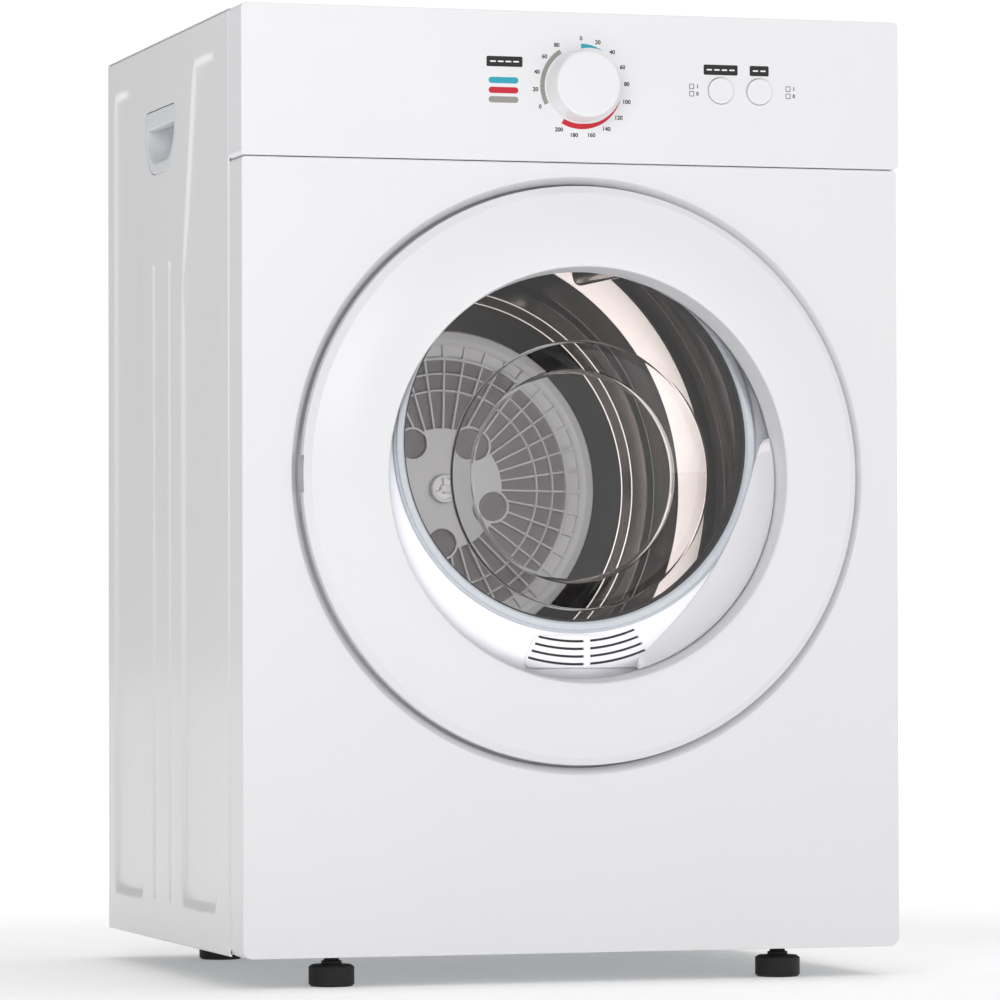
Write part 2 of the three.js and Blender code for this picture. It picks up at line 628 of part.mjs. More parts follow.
// ---- Drum -----------------------------------------------------------------------------------
function addDrumShell() {
  const bead = (y) => [
    [DRUM_RADIUS, y], [DRUM_RADIUS - 4, y + 6], [DRUM_RADIUS - 4, y + 20], [DRUM_RADIUS, y + 26],
  ];
  const outside = [
    [DRUM_MOUTH_RADIUS, DRUM_FRONT_Y], [DRUM_MOUTH_RADIUS, 52], [250, 55], [265, 61],
    [DRUM_RADIUS, 72], ...bead(200), [DRUM_RADIUS, 428],
    [DRUM_RADIUS - 5, DRUM_END_Y],
  ];
  piece('drum_shell', turned(walled(outside, DRUM_SHEET), FINE), STAINLESS);
}

function addDrumBack() {
  const outside = [
    [DRUM_RADIUS - 6, DRUM_END_Y + 0.5], [240, BACK_DISC_Y + 1], [BACK_HOLE_RADIUS, BACK_DISC_Y + 1],
  ];
  const inside = [
    [BACK_HOLE_RADIUS, BACK_DISC_Y], [240, BACK_DISC_Y], [DRUM_RADIUS - 7, DRUM_END_Y + 0.5],
  ];
  piece('drum_back', turned([...outside, ...inside, outside[0]], FINE), STAINLESS);
}

// Three hollow ridges inside the shell that carry the clothes up, open towards the shell.
function addLifters() {
  const foot = clearOf(DRUM_RADIUS - 4 - DRUM_SHEET);
  const half = LIFTER_BASE / 2;
  const base = Math.sqrt(foot ** 2 - half ** 2);
  const crown = foot - LIFTER_HEIGHT;
  for (let k = 0; k < LIFTER_COUNT; k += 1) {
    const outline = new THREE.Shape();
    outline.moveTo(-half, base);
    outline.lineTo(-10, crown + 4);
    outline.quadraticCurveTo(0, crown - 4, 10, crown + 4);
    outline.lineTo(half, base);
    outline.lineTo(half - LIFTER_WALL, base);
    outline.lineTo(10 - LIFTER_WALL, crown + 5);
    outline.quadraticCurveTo(0, crown - 2, LIFTER_WALL - 10, crown + 5);
    outline.lineTo(LIFTER_WALL - half, base);
    outline.closePath();
    const options = { depth: LIFTER_LENGTH, bevelEnabled: false, curveSegments: 4 };
    const bar = new THREE.ExtrudeGeometry(outline, options);
    bar.rotateX(Math.PI / 2).translate(0, 395, 0);
    bar.rotateY((2 * Math.PI * k) / LIFTER_COUNT + Math.PI / 6).translate(AXIS_X, 0, AXIS_Z);
    piece(`drum_lifter_${k + 1}`, solid(bar), STAINLESS);
  }
}

// A flat bar from one radius to another, turned about the drum's axis.
function spoke(r0, r1, width, y0, y1, angle) {
  const bar = new THREE.BoxGeometry(r1 - r0, y1 - y0, width);
  bar.translate((r0 + r1) / 2, (y0 + y1) / 2, 0);
  return solid(bar.rotateY(angle).translate(AXIS_X, 0, AXIS_Z));
}

// The outlet grille: a rim, a hub with petal openings, thin ribs and rings between them.
function addDrumGrille() {
  const [front, back] = [439, BACK_DISC_Y - GAP];
  const parts = [
    washer(134, GRILLE_RADIUS, front, back, MIDDLE),
    rod(GRILLE_HUB_RADIUS, front + 2, back, MIDDLE),
    washer(94, 96, front + 3, back - 1, MIDDLE),
    washer(114, 116, front + 3, back - 1, MIDDLE),
  ];
  for (let k = 0; k < GRILLE_RIBS; k += 1) {
    const angle = (2 * Math.PI * k) / GRILLE_RIBS;
    parts.push(spoke(GRILLE_HUB_RADIUS - 4, 136, 2.4, front + 2, back - 1, angle));
  }
  const petals = [];
  for (let k = 0; k < PETAL_COUNT; k += 1) {
    const angle = PETAL_START + (2 * Math.PI * k) / PETAL_COUNT;
    const x = AXIS_X + PETAL_REACH * Math.cos(angle);
    const z = AXIS_Z + PETAL_REACH * Math.sin(angle);
    petals.push(rod(PETAL_RADIUS, front, back + 1, TINY, x, z));
  }
  const screwHole = rod(5, front, back + 1, TINY);
  piece('drum_grille', cut(join(...parts), ...petals, screwHole), GREY_PLASTIC);
  piece('lint_filter', washer(12, BACK_HOLE_RADIUS - 1, BACK_DISC_Y, BACK_DISC_Y + 1, MIDDLE), FELT);
}

// The three-lobed knob whose stem holds the grille and the filter on the shaft's end.
function addFilterKnob() {
  const [front, face] = [430, 440.7];
  const parts = [rod(9, front, face, COARSE), rod(4.6, face - 1, 451, TINY)];
  for (let k = 0; k < 3; k += 1) {
    const angle = (2 * Math.PI * k) / 3 + Math.PI / 2;
    const [x, z] = [AXIS_X + 9 * Math.cos(angle), AXIS_Z + 9 * Math.sin(angle)];
    parts.push(rod(6, front, face, TINY, x, z));
  }
  piece('filter_knob', join(...parts), GREY_PLASTIC);
}

function addDrumSpider() {
  const [front, back] = [BACK_DISC_Y + 1 + GAP, 457];
  const parts = [
    washer(BACK_HOLE_RADIUS - 4, 146, front, front + 4, MIDDLE),
    rod(26, front + 3, 462, COARSE),
  ];
  for (let k = 0; k < 3; k += 1) {
    parts.push(spoke(20, 140, 26, front + 1, back, (2 * Math.PI * k) / 3 + Math.PI / 6));
  }
  parts.push(rod(SHAFT_RADIUS, back, SHAFT_END_Y, COARSE));
  piece('drum_spider_shaft', cut(join(...parts), rod(5, front - 1, 456, TINY)), ALUMINIUM);
}

// ---- Rear bulkhead, fan and exhaust ---------------------------------------------------------
function addRearBulkhead() {
  const plate = block(-296, 296, BULKHEAD_Y, BULKHEAD_Y + 1.2, 140, 795);
  piece('rear_bulkhead', cut(plate, rod(150, BULKHEAD_Y - 1, BULKHEAD_Y + 3, MIDDLE)), GALVANISED);
  piece('rear_felt', washer(156, 168, BACK_DISC_Y + 1.6, BULKHEAD_Y - GAP, MIDDLE), FELT);
  const [half, height] = [190, 18];
  const bar = block(AXIS_X - half, AXIS_X + half, DEPTH - 3.5, DEPTH - SHEET - GAP,
    AXIS_Z - height, AXIS_Z + height);
  const seat = washer(SHAFT_RADIUS + GAP, 22, 515.5, DEPTH - 3.4, COARSE);
  piece('rear_bearing', join(bar, seat), GALVANISED);
}

function addFanHousing() {
  const wall = 2;
  const [front, back] = [FAN_HOUSING_FRONT_Y, FAN_HOUSING_BACK_Y];
  const [left, right, low] = [EXHAUST_X - 56, EXHAUST_X + 56, EXHAUST_Z - 58];
  const scroll = rod(FAN_HOUSING_RADIUS, front, back, FINE);
  const chute = block(left, right, front, back, low, AXIS_Z - 20);
  const scrollHollow = rod(FAN_HOUSING_RADIUS - wall, front + wall, back - wall, FINE);
  const chuteHollow = block(left + wall, right - wall, front + wall, back - wall,
    low + wall, AXIS_Z - 22);
  const eye = rod(150, front - 1, front + 3, MIDDLE);
  const hubHole = rod(32, back - 3, back + 1, COARSE);
  const outlet = rod(EXHAUST_RADIUS - 2, back - 3, back + 1, COARSE, EXHAUST_X, EXHAUST_Z);
  const hollow = join(scrollHollow, chuteHollow);
  piece('fan_housing', cut(join(scroll, chute), hollow, eye, hubHole, outlet), BLACK_PLASTIC);
}

function addFan() {
  const [front, disc] = [472, 496];
  const parts = [rod(FAN_RADIUS, disc, disc + 2, MIDDLE), rod(18, front, disc + 5, COARSE)];
  for (let k = 0; k < FAN_BLADES; k += 1) {
    parts.push(spoke(60, FAN_RADIUS - 3, 2.5, front + 2, disc + 1, (2 * Math.PI * k) / FAN_BLADES));
  }
  parts.push(washer(SHAFT_RADIUS + GAP, 14, disc + 1, FAN_BELT_Y - 3.5, COARSE));
  parts.push(pulley(FAN_PULLEY_RADIUS, FAN_BELT_Y, SHAFT_RADIUS, AXIS_X, AXIS_Z));
  const bore = rod(SHAFT_RADIUS + GAP, front - 1, FAN_BELT_Y + 5, COARSE);
  piece('fan_impeller', cut(join(...parts), bore), BLACK_PLASTIC);
}

// A grooved pulley: two flanges and a narrower drum between them, bored for its shaft.
function pulley(groove, middle, shaft, x, z) {
  const rim = groove + BELT_THICKNESS + 0.8;
  return turned([
    [shaft + GAP, middle - 4], [rim, middle - 4], [rim, middle - 2.8], [groove, middle - 2.6],
    [groove, middle + 2.6], [rim, middle + 2.8], [rim, middle + 4], [shaft + GAP, middle + 4],
    [shaft + GAP, middle - 4],
  ], COARSE, x, z);
}

function addExhaust() {
  const wall = 2;
  const back = FAN_HOUSING_BACK_Y + GAP;
  const ring = (inner, outer, y0, y1) => washer(inner, outer, y0, y1, COARSE, EXHAUST_X, EXHAUST_Z);
  const tube = ring(EXHAUST_RADIUS - wall, EXHAUST_RADIUS, back, EXHAUST_END_Y);
  const flange = ring(EXHAUST_RADIUS - 1, EXHAUST_RADIUS + 14, DEPTH + GAP, DEPTH + 3);
  piece('exhaust_collar', join(tube, flange), WHITE_PLASTIC);
}

// ---- Motor, belts and idler -----------------------------------------------------------------
function addMotor() {
  const bore = rod(MOTOR_SHAFT_RADIUS + GAP, MOTOR_FRONT_Y - 20, MOTOR_BACK_Y + 20, TINY,
    MOTOR_X, MOTOR_Z);
  const body = join(
    rod(MOTOR_RADIUS, MOTOR_FRONT_Y, MOTOR_BACK_Y, COARSE, MOTOR_X, MOTOR_Z),
    rod(14, MOTOR_FRONT_Y - 5, MOTOR_BACK_Y + 5, COARSE, MOTOR_X, MOTOR_Z),
  );
  piece('motor_body', cut(body, bore), STEEL);
  const drive = turned([
    [0, DRUM_BELT_Y - 7], [13, DRUM_BELT_Y - 7], [13, DRUM_BELT_Y - 4.6],
    [DRIVE_PULLEY_RADIUS, DRUM_BELT_Y - 4.4], [DRIVE_PULLEY_RADIUS, DRUM_BELT_Y + 4.4],
    [13, DRUM_BELT_Y + 4.6], [13, DRUM_BELT_Y + 7], [0, DRUM_BELT_Y + 7],
  ], COARSE, MOTOR_X, MOTOR_Z);
  const spindle = rod(MOTOR_SHAFT_RADIUS, DRUM_BELT_Y - 8, FAN_BELT_Y + 6, TINY, MOTOR_X, MOTOR_Z);
  piece('motor_shaft', join(spindle, drive), STEEL);
  const fanDrive = pulley(FAN_PULLEY_RADIUS, FAN_BELT_Y, MOTOR_SHAFT_RADIUS, MOTOR_X, MOTOR_Z);
  piece('fan_drive_pulley', fanDrive, BLACK_PLASTIC);

  const floor = 2 * SHEET + 2 * GAP;
  const saddle = (y) => block(MOTOR_X - 50, MOTOR_X + 50, y, y + 5, floor, 66);
  const cradle = cut(
    join(block(MOTOR_X - 55, MOTOR_X + 55, 350, 425, floor, floor + 3), saddle(350), saddle(420)),
    rod(MOTOR_RADIUS + GAP, 340, 435, COARSE, MOTOR_X, MOTOR_Z),
  );
  piece('motor_cradle', cradle, GALVANISED);
}

// The closed outline of a belt round a large and a small wheel, at a distance from their rims.
function beltOutline(large, small, offset) {
  const [dx, dz] = [small.x - large.x, small.z - large.z];
  const along = Math.atan2(dz, dx);
  const spread = Math.acos((large.radius - small.radius) / Math.hypot(dx, dz));
  const outline = new THREE.Shape();
  outline.absarc(large.x, large.z, large.radius + offset, along + spread, along - spread + 2 * Math.PI);
  outline.absarc(small.x, small.z, small.radius + offset, along - spread, along + spread);
  outline.closePath();
  return outline;
}

// The inside is drawn round the wheels, so that its flat facets stay clear of their rims.
function belt(large, small, width, middle, steps) {
  const clearance = 0.4 + large.radius * (1 / Math.cos((0.76 * Math.PI) / steps) - 1);
  const loop = beltOutline(large, small, clearance + BELT_THICKNESS);
  loop.holes.push(beltOutline(large, small, clearance));
  const options = { depth: width, bevelEnabled: false, curveSegments: steps };
  const body = new THREE.ExtrudeGeometry(loop, options);
  const turn = new THREE.Matrix4().makeBasis(
    new THREE.Vector3(1, 0, 0), new THREE.Vector3(0, 0, 1), new THREE.Vector3(0, -1, 0));
  return solid(body.applyMatrix4(turn).translate(0, middle + width / 2, 0));
}

const DRUM_WHEEL = { x: AXIS_X, z: AXIS_Z, radius: DRUM_RADIUS };
const DRIVE_WHEEL = { x: MOTOR_X, z: MOTOR_Z, radius: DRIVE_PULLEY_RADIUS };

function addBelts() {
  piece('drum_belt', belt(DRUM_WHEEL, DRIVE_WHEEL, 8, DRUM_BELT_Y, 30), BLACK_RUBBER);
  const driven = { x: AXIS_X, z: AXIS_Z, radius: FAN_PULLEY_RADIUS };
  const driver = { x: MOTOR_X, z: MOTOR_Z, radius: FAN_PULLEY_RADIUS };
  piece('fan_belt', belt(driven, driver, 4, FAN_BELT_Y, 10), BLACK_RUBBER);
}

// The idler rolls on the outside of the belt's lower run, on an arm that a spring pulls up.
function addIdler() {
  const [dx, dz] = [MOTOR_X - AXIS_X, MOTOR_Z - AXIS_Z];
  const spread = Math.acos((DRUM_RADIUS - DRIVE_PULLEY_RADIUS) / Math.hypot(dx, dz));
  const normal = Math.atan2(dz, dx) - spread;
  const touch = ({ x, z, radius }) => [x + radius * Math.cos(normal), z + radius * Math.sin(normal)];
  const [[ax, az], [bx, bz]] = [touch(DRUM_WHEEL), touch(DRIVE_WHEEL)];
  const stand = 1.5 + BELT_THICKNESS + GAP + IDLER_RADIUS;
  const x = (ax + bx) / 2 + stand * Math.cos(normal);
  const z = (az + bz) / 2 + stand * Math.sin(normal);
  const [front, back] = [DRUM_BELT_Y - 6, DRUM_BELT_Y + 6];
  piece('idler_pulley', washer(4 + GAP, IDLER_RADIUS, front, back, COARSE, x, z), BLACK_PLASTIC);

  const reach = Math.hypot(x - IDLER_PIVOT_X, z - IDLER_PIVOT_Z);
  const bar = new THREE.BoxGeometry(reach, 4, 16);
  bar.translate(reach / 2, DRUM_BELT_Y + 9, 0);
  bar.rotateY(-Math.atan2(z - IDLER_PIVOT_Z, x - IDLER_PIVOT_X));
  bar.translate(IDLER_PIVOT_X, 0, IDLER_PIVOT_Z);
  const arm = cut(
    join(
      solid(bar),
      rod(10, DRUM_BELT_Y + 7, DRUM_BELT_Y + 11, COARSE, x, z),
      rod(4, DRUM_BELT_Y - 7, DRUM_BELT_Y + 9, TINY, x, z),
      rod(12, DRUM_BELT_Y + 7, DRUM_BELT_Y + 11, COARSE, IDLER_PIVOT_X, IDLER_PIVOT_Z),
    ),
    rod(5.5, DRUM_BELT_Y, DRUM_BELT_Y + 13, TINY, IDLER_PIVOT_X, IDLER_PIVOT_Z),
  );
  piece('idler_arm', arm, STEEL);

  const floor = 2 * SHEET + 2 * GAP;
  const stayY = DRUM_BELT_Y + 13;
  const upright = (reach, y1, z1) =>
    block(IDLER_PIVOT_X - reach, IDLER_PIVOT_X + reach, stayY, y1, floor, z1);
  const stay = upright(14, stayY + 3, IDLER_PIVOT_Z + 16);
  const footing = upright(20, stayY + 32, floor + 3);
  const pivot = rod(5, DRUM_BELT_Y + 5, DRUM_BELT_Y + 14, TINY, IDLER_PIVOT_X, IDLER_PIVOT_Z);
  piece('idler_bracket', join(stay, footing, pivot), GALVANISED);
}

// ---- Mains inlet ----------------------------------------------------------------------------
function addCordGland() {
  const gland = turned([
    [4, 522], [7.7, 522], [7.7, DEPTH + GAP], [12, DEPTH + GAP], [12, DEPTH + 3], [9, DEPTH + 6],
    [4, DEPTH + 6], [4, 522],
  ], COARSE, CORD_X, CORD_Z);
  piece('cord_gland', gland, BLACK_RUBBER);
}

addSidePanels();
addFrontPanel();
addTopCover();
addRearPanel();
addRearCover();
addBasePan();
addFeet();
addFascia();
addTimer();
addButtons();
addDoorRing();
addDoorFrame();
addDoorGlass();
addDoorPull();
addDoorHinge();
addDoorLatch();
addFrontCollar();
addInletGrille();
addAirDuct();
addHeater();
addDrumShell();
addDrumBack();
addLifters();
addDrumGrille();
addFilterKnob();
addDrumSpider();
addRearBulkhead();
addFanHousing();
addFan();
addExhaust();
addMotor();
addBelts();
addIdler();
addCordGland();

// On the floor, with the middle of the whole depth over the origin.
assembly.position.set(0, -(EXHAUST_END_Y - DOOR_PROUD) / 2, FOOT_HEIGHT);

const dryer = new THREE.Group();
dryer.add(assembly);
export default dryer;
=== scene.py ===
"""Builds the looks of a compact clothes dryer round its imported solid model.

Lengths are in metres, x runs to the machine's right, y runs back and z runs up from the floor.
Each shape is worked out with numpy from the frame's own boxes and a few named sizes.
"""

import math

import bmesh
import bpy
import numpy as np
from bpy.props import FloatProperty, FloatVectorProperty, IntProperty, PointerProperty
from mathutils import Matrix, Vector


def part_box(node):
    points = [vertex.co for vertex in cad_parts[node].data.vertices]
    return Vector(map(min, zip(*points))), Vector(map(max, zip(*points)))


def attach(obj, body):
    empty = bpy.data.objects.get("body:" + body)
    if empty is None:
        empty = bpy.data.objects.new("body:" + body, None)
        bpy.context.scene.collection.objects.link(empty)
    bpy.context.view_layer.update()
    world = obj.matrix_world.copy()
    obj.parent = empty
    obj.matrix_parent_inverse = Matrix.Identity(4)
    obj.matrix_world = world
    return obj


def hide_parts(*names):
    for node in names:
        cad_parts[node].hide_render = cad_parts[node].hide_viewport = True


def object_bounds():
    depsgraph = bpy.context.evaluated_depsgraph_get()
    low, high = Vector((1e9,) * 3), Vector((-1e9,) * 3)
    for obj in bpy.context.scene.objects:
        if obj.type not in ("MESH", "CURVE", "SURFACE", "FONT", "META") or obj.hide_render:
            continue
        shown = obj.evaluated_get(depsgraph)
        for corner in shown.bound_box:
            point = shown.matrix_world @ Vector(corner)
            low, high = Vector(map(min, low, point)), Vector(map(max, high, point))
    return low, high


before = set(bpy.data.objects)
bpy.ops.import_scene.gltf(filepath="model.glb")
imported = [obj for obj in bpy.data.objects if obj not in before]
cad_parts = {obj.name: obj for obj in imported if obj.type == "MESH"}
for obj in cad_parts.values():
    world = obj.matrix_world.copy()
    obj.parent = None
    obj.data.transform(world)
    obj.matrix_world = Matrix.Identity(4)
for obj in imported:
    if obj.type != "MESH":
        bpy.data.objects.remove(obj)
CAD_LOW, CAD_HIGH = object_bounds()

bl_info = {
    "name": "Compact Clothes Dryer",
    "version": (1, 0, 0),
    "blender": (4, 5, 0),
    "location": "3D View > Sidebar > Dryer",
    "description": "Builds the looks of a compact clothes dryer round its solid model",
    "category": "Add Mesh",
}

MM = 0.001
TURN = 2 * math.pi
MERGE = 1e-6


def middle_of(node):
    """The centre of a CAD node's box."""
    low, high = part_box(node)
    return (low + high) / 2


def radius_of(node):
    """Half the width of a round CAD node's box."""
    low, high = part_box(node)
    return (high.x - low.x) / 2


PANEL_LOW, PANEL_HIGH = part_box("front_panel")
FASCIA_LOW, FASCIA_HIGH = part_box("control_panel")
SIDE_LOW, SIDE_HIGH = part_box("side_panel_left")
CUP_LOW, CUP_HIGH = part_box("handle_cup_left")
FACE = PANEL_LOW.y
FASCIA_FACE = FASCIA_LOW.y
AXIS = middle_of("door_outer_ring")
RING_RADIUS = radius_of("door_outer_ring")
KNOB = middle_of("timer_knob")
GASKET = middle_of("mouth_gasket")
BUTTONS = ("sensor_button", "mode_button")
CAP_RADIUS = 11.5 * MM
SHAFT_RADIUS = 8 * MM
TIMER_SEAT = 17 * MM
LABEL_X = KNOB.x - 70 * MM
LABEL_Z = KNOB.z + 20 * MM
INK_ROOT = 0.05 * MM
BAND_RIM = 37.5 * MM
BAND_INKS = {"cool": "teal", "hot": "red", "air": "slate"}
BEVEL_TOP = -11.5 * MM
NECK_RADIUS = 203 * MM
NECK_WALL = 2.4 * MM
DRUM_LIP = 208 * MM
DRUM_SHOULDER = 244 * MM
DRUM_BEADS = (74 * MM, 168 * MM, 262 * MM, 340 * MM)
WINDOW_INNER = 124 * MM
WINDOW_OUTER = 138 * MM
HOOP_RADII = (109 * MM, 93 * MM)
POLISH_LINES = 900
UPRIGHT = Matrix.Rotation(math.pi / 2, 4, "X")


# ---- Shapes ---------------------------------------------------------------------------------


class Shape:
    """Points and the faces over them; shapes add up to one mesh."""

    def __init__(self, points, faces):
        self.points = np.asarray(points, float).reshape(-1, 3)
        self.faces = faces

    def __add__(self, other):
        shift = len(self.points)
        moved = [[corner + shift for corner in face] for face in other.faces]
        return Shape(np.vstack([self.points, other.points]), self.faces + moved)

    def changed(self, matrix):
        """The shape carried by a 4x4 matrix."""
        matrix = np.array(matrix)
        return Shape(self.points @ matrix[:3, :3].T + matrix[:3, 3], self.faces)

    def mirrored(self):
        """The shape on the machine's other side."""
        return Shape(self.points * (-1, 1, 1), self.faces)


def together(shapes):
    """All the shapes of a sequence as one."""
    shapes = list(shapes)
    total = shapes[0]
    for shape in shapes[1:]:
        total = total + shape
    return total


def grid(points, close_rows=False, close_columns=False):
    """Four-sided faces over a rows x columns array of points, joined end to end where closed."""
    rows, columns = points.shape[:2]
    number = np.arange(rows * columns).reshape(rows, columns)
    if close_rows:
        number = np.vstack([number, number[:1]])
    if close_columns:
        number = np.hstack([number, number[:, :1]])
    around = [number[:-1, :-1], number[:-1, 1:], number[1:, 1:], number[1:, :-1]]
    return Shape(points, np.stack(around, axis=-1).reshape(-1, 4).tolist())


def rounded(corners, closed=True, steps=6):
    """A line through (a, b, radius) corners, each one an arc that touches its two sides."""
    line = []
    count = len(corners)
    for index, (a, b, radius) in enumerate(corners):
        here = np.array((a, b), float)
        if radius <= 0 or (not closed and index in (0, count - 1)):
            line.append(here[None])
            continue
        back = np.array(corners[index - 1][:2]) - here
        ahead = np.array(corners[(index + 1) % count][:2]) - here
        back /= np.linalg.norm(back)
        ahead /= np.linalg.norm(ahead)
        half = math.acos(float(np.clip(back @ ahead, -1, 1))) / 2
        bisector = (back + ahead) / np.linalg.norm(back + ahead)
        middle = here + bisector * radius / math.sin(half)
        start = here + back * radius / math.tan(half) - middle
        end = here + ahead * radius / math.tan(half) - middle
        sweep = math.atan2(start[0] * end[1] - start[1] * end[0], start @ end)
        angle = np.linspace(0, sweep, steps + 1)
        turned = (start[0] * np.cos(angle) - start[1] * np.sin(angle),
                  start[0] * np.sin(angle) + start[1] * np.cos(angle))
        line.append(middle + np.stack(turned, axis=-1))
    return np.vstack(line)


def divided(outline, longest):
    """A closed outline with its long sides cut into equal lengths no longer than longest."""
    side = np.roll(outline, -1, axis=0) - outline
    cuts = np.maximum(1, np.ceil(np.linalg.norm(side, axis=1) / longest).astype(int))
    start = np.repeat(np.arange(len(outline)), cuts)
    step = np.arange(cuts.sum()) - np.repeat(np.cumsum(cuts) - cuts, cuts)
    return outline[start] + side[start] * (step / cuts[start])[:, None]


def inset(outline, distance):
    """An anticlockwise outline drawn inside itself, each point moved along its bisector."""
    side = np.roll(outline, -1, axis=0) - outline
    side = side / np.linalg.norm(side, axis=1, keepdims=True)
    inward = np.stack([-side[:, 1], side[:, 0]], axis=-1)
    bisector = inward + np.roll(inward, 1, axis=0)
    bisector = bisector / (bisector * inward).sum(axis=1, keepdims=True)
    return outline + distance * bisector


def circle(radius, steps, x=0.0, z=0.0):
    """Points evenly round a circle, anticlockwise seen from the front."""
    angle = TURN * np.arange(steps) / steps
    return np.stack([x + radius * np.cos(angle), z + radius * np.sin(angle)], axis=-1)


def upright(outline, y):
    """A flat (x, z) outline stood up at depth y."""
    return np.stack([outline[:, 0], np.full(len(outline), y), outline[:, 1]], axis=-1)


def carried(rings, cap_first=True, cap_last=True):
    """A skin through a row of closed rings, with a flat face over either end."""
    rings = np.stack(rings)
    skin = grid(rings, close_columns=True)
    count = rings.shape[1]
    if cap_first:
        skin = skin + Shape(rings[0], [list(range(count))])
    if cap_last:
        skin = skin + Shape(rings[-1], [list(range(count))])
    return skin


def plate(outline, front, back, edge=0.0, steps=3):
    """A solid plate from front to back; its front edge is a quarter-round of radius edge."""
    angle = np.linspace(0, math.pi / 2, steps + 1) if edge > 0 else [math.pi / 2]
    rings = [upright(inset(outline, edge * (1 - math.sin(a))), front + edge * (1 - math.cos(a)))
             for a in angle]
    return carried(rings + [upright(outline, back)])


def lathe(profile, x, z, steps=144):
    """A (radius, y) profile turned about a fore-and-aft axis through (x, z)."""
    profile = np.asarray(profile, float)
    angle = TURN * np.arange(steps) / steps
    radius, depth = profile[:, :1], profile[:, 1:]
    points = [x + radius * np.cos(angle), depth + 0 * angle, z + radius * np.sin(angle)]
    return grid(np.stack(points, axis=-1), close_columns=True)


def shell(outer, inner):
    """A closed wall between two surfaces worked out on the same grid."""
    body = grid(np.vstack([outer, inner[::-1]]), close_rows=True)
    ends = [grid(np.stack([outer[:, side], inner[:, side]], axis=0)) for side in (0, -1)]
    return body + ends[0] + ends[1]


def box_shape(low, high):
    """An upright block between two opposite corners."""
    outline = np.array([(low[0], low[2]), (high[0], low[2]), (high[0], high[2]), (low[0], high[2])])
    return plate(outline, low[1], high[1])


def turned(profile, steps):
    """A closed (radius, y) section turned about the door's axis."""
    points = lathe(profile, AXIS.x, AXIS.z, steps).points.reshape(len(profile), steps, 3)
    return grid(points, close_rows=True, close_columns=True)


def about_axis(angle):
    """Carries a shape made round the origin to the door's axis and turns it there."""
    return Matrix.Translation((AXIS.x, 0, AXIS.z)) @ Matrix.Rotation(angle, 4, "Y")


def ease(t):
    """A smooth step from 0 to 1."""
    t = np.clip(t, 0.0, 1.0)
    return t * t * (3 - 2 * t)


def make_mesh(name, shape):
    """A mesh of the shape with its doubles merged and its faces turned outwards."""
    mesh = bpy.data.meshes.new(name)
    mesh.from_pydata(shape.points.tolist(), [], shape.faces)
    work = bmesh.new()
    work.from_mesh(mesh)
    bmesh.ops.remove_doubles(work, verts=work.verts, dist=MERGE)
    bmesh.ops.recalc_face_normals(work, faces=work.faces)
    work.to_mesh(mesh)
    work.free()
    return mesh


def piece(name, shape, finish, body, stands_for=(), wall=0.0, holes=(), crease=32):
    """Makes one named piece: thickened by wall, cut by holes, finished, and riding on its body."""
    made = bpy.data.objects.new(name, make_mesh(name, shape))
    bpy.context.scene.collection.objects.link(made)
    if wall:
        sheet = made.modifiers.new("wall", "SOLIDIFY")
        sheet.thickness = wall
        sheet.offset = -1
    cutters = []
    for number, hole in enumerate(holes):
        cutter = bpy.data.objects.new(f"cutter_{number}", make_mesh("cutter", hole))
        bpy.context.scene.collection.objects.link(cutter)
        cut = made.modifiers.new("hole", "BOOLEAN")
        cut.object = cutter
        cut.solver = "EXACT"
        cutters.append(cutter)
    if wall or cutters:
        bpy.context.view_layer.update()
        seen = made.evaluated_get(bpy.context.evaluated_depsgraph_get())
        whole = bpy.data.meshes.new_from_object(seen)
        made.modifiers.clear()
        made.data = whole
        for cutter in cutters:
            bpy.data.objects.remove(cutter)
    made.data.name = name
    made.data.polygons.foreach_set("use_smooth", [True] * len(made.data.polygons))
    made.data.set_sharp_from_angle(angle=math.radians(crease))
    level = made.modifiers.new("even_shading", "WEIGHTED_NORMAL")
    level.keep_sharp = True
    made.data.materials.clear()
    made.data.materials.append(finish)
    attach(made, body)
    if stands_for:
        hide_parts(*stands_for)
    return made


# ---- Finishes -------------------------------------------------------------------------------


class Value:
    """A shader socket that takes part in sums and products."""

    def __init__(self, finish, socket):
        self.finish = finish
        self.socket = socket

    def math(self, operation, *others):
        return self.finish.math(operation, self, *others)

    def __add__(self, other):
        return self.math("ADD", other)

    def __mul__(self, other):
        return self.math("MULTIPLY", other)

    def __sub__(self, other):
        return self.math("SUBTRACT", other)

    def __truediv__(self, other):
        return self.math("DIVIDE", other)

    def sine(self):
        return self.math("SINE")

    def clipped_below(self):
        return self.math("MAXIMUM", 0.0)

    def clipped(self):
        return self.clipped_below().math("MINIMUM", 1.0)


class NodeSheet:
    """A node tree that is filled by naming nodes and by writing sums on their values."""

    def __init__(self, owner):
        owner.use_nodes = True
        self.tree = owner.node_tree
        self.tree.nodes.clear()

    def feed(self, socket, value):
        """Links a value to a socket, or sets the socket's own number or colour."""
        if isinstance(value, Value):
            self.tree.links.new(value.socket, socket)
        elif socket.type == "SHADER":
            raise ValueError(f"the {socket.name} socket needs a shader linked to it")
        elif hasattr(socket.default_value, "__len__") and len(socket.default_value) == 4:
            socket.default_value = (*value[:3], 1.0)
        else:
            socket.default_value = value

    def node(self, kind, settings=None, inputs=None, result=0):
        """Adds a node of a type, gives it its settings first and then its sockets' values."""
        made = self.tree.nodes.new(kind)
        for name, value in (settings or {}).items():
            setattr(made, name, value)
        for key, value in (inputs or {}).items():
            self.feed(made.inputs[key], value)
        return Value(self, made.outputs[result]) if result is not None else None

    def math(self, operation, *values):
        return self.node("ShaderNodeMath", {"operation": operation}, dict(enumerate(values)))


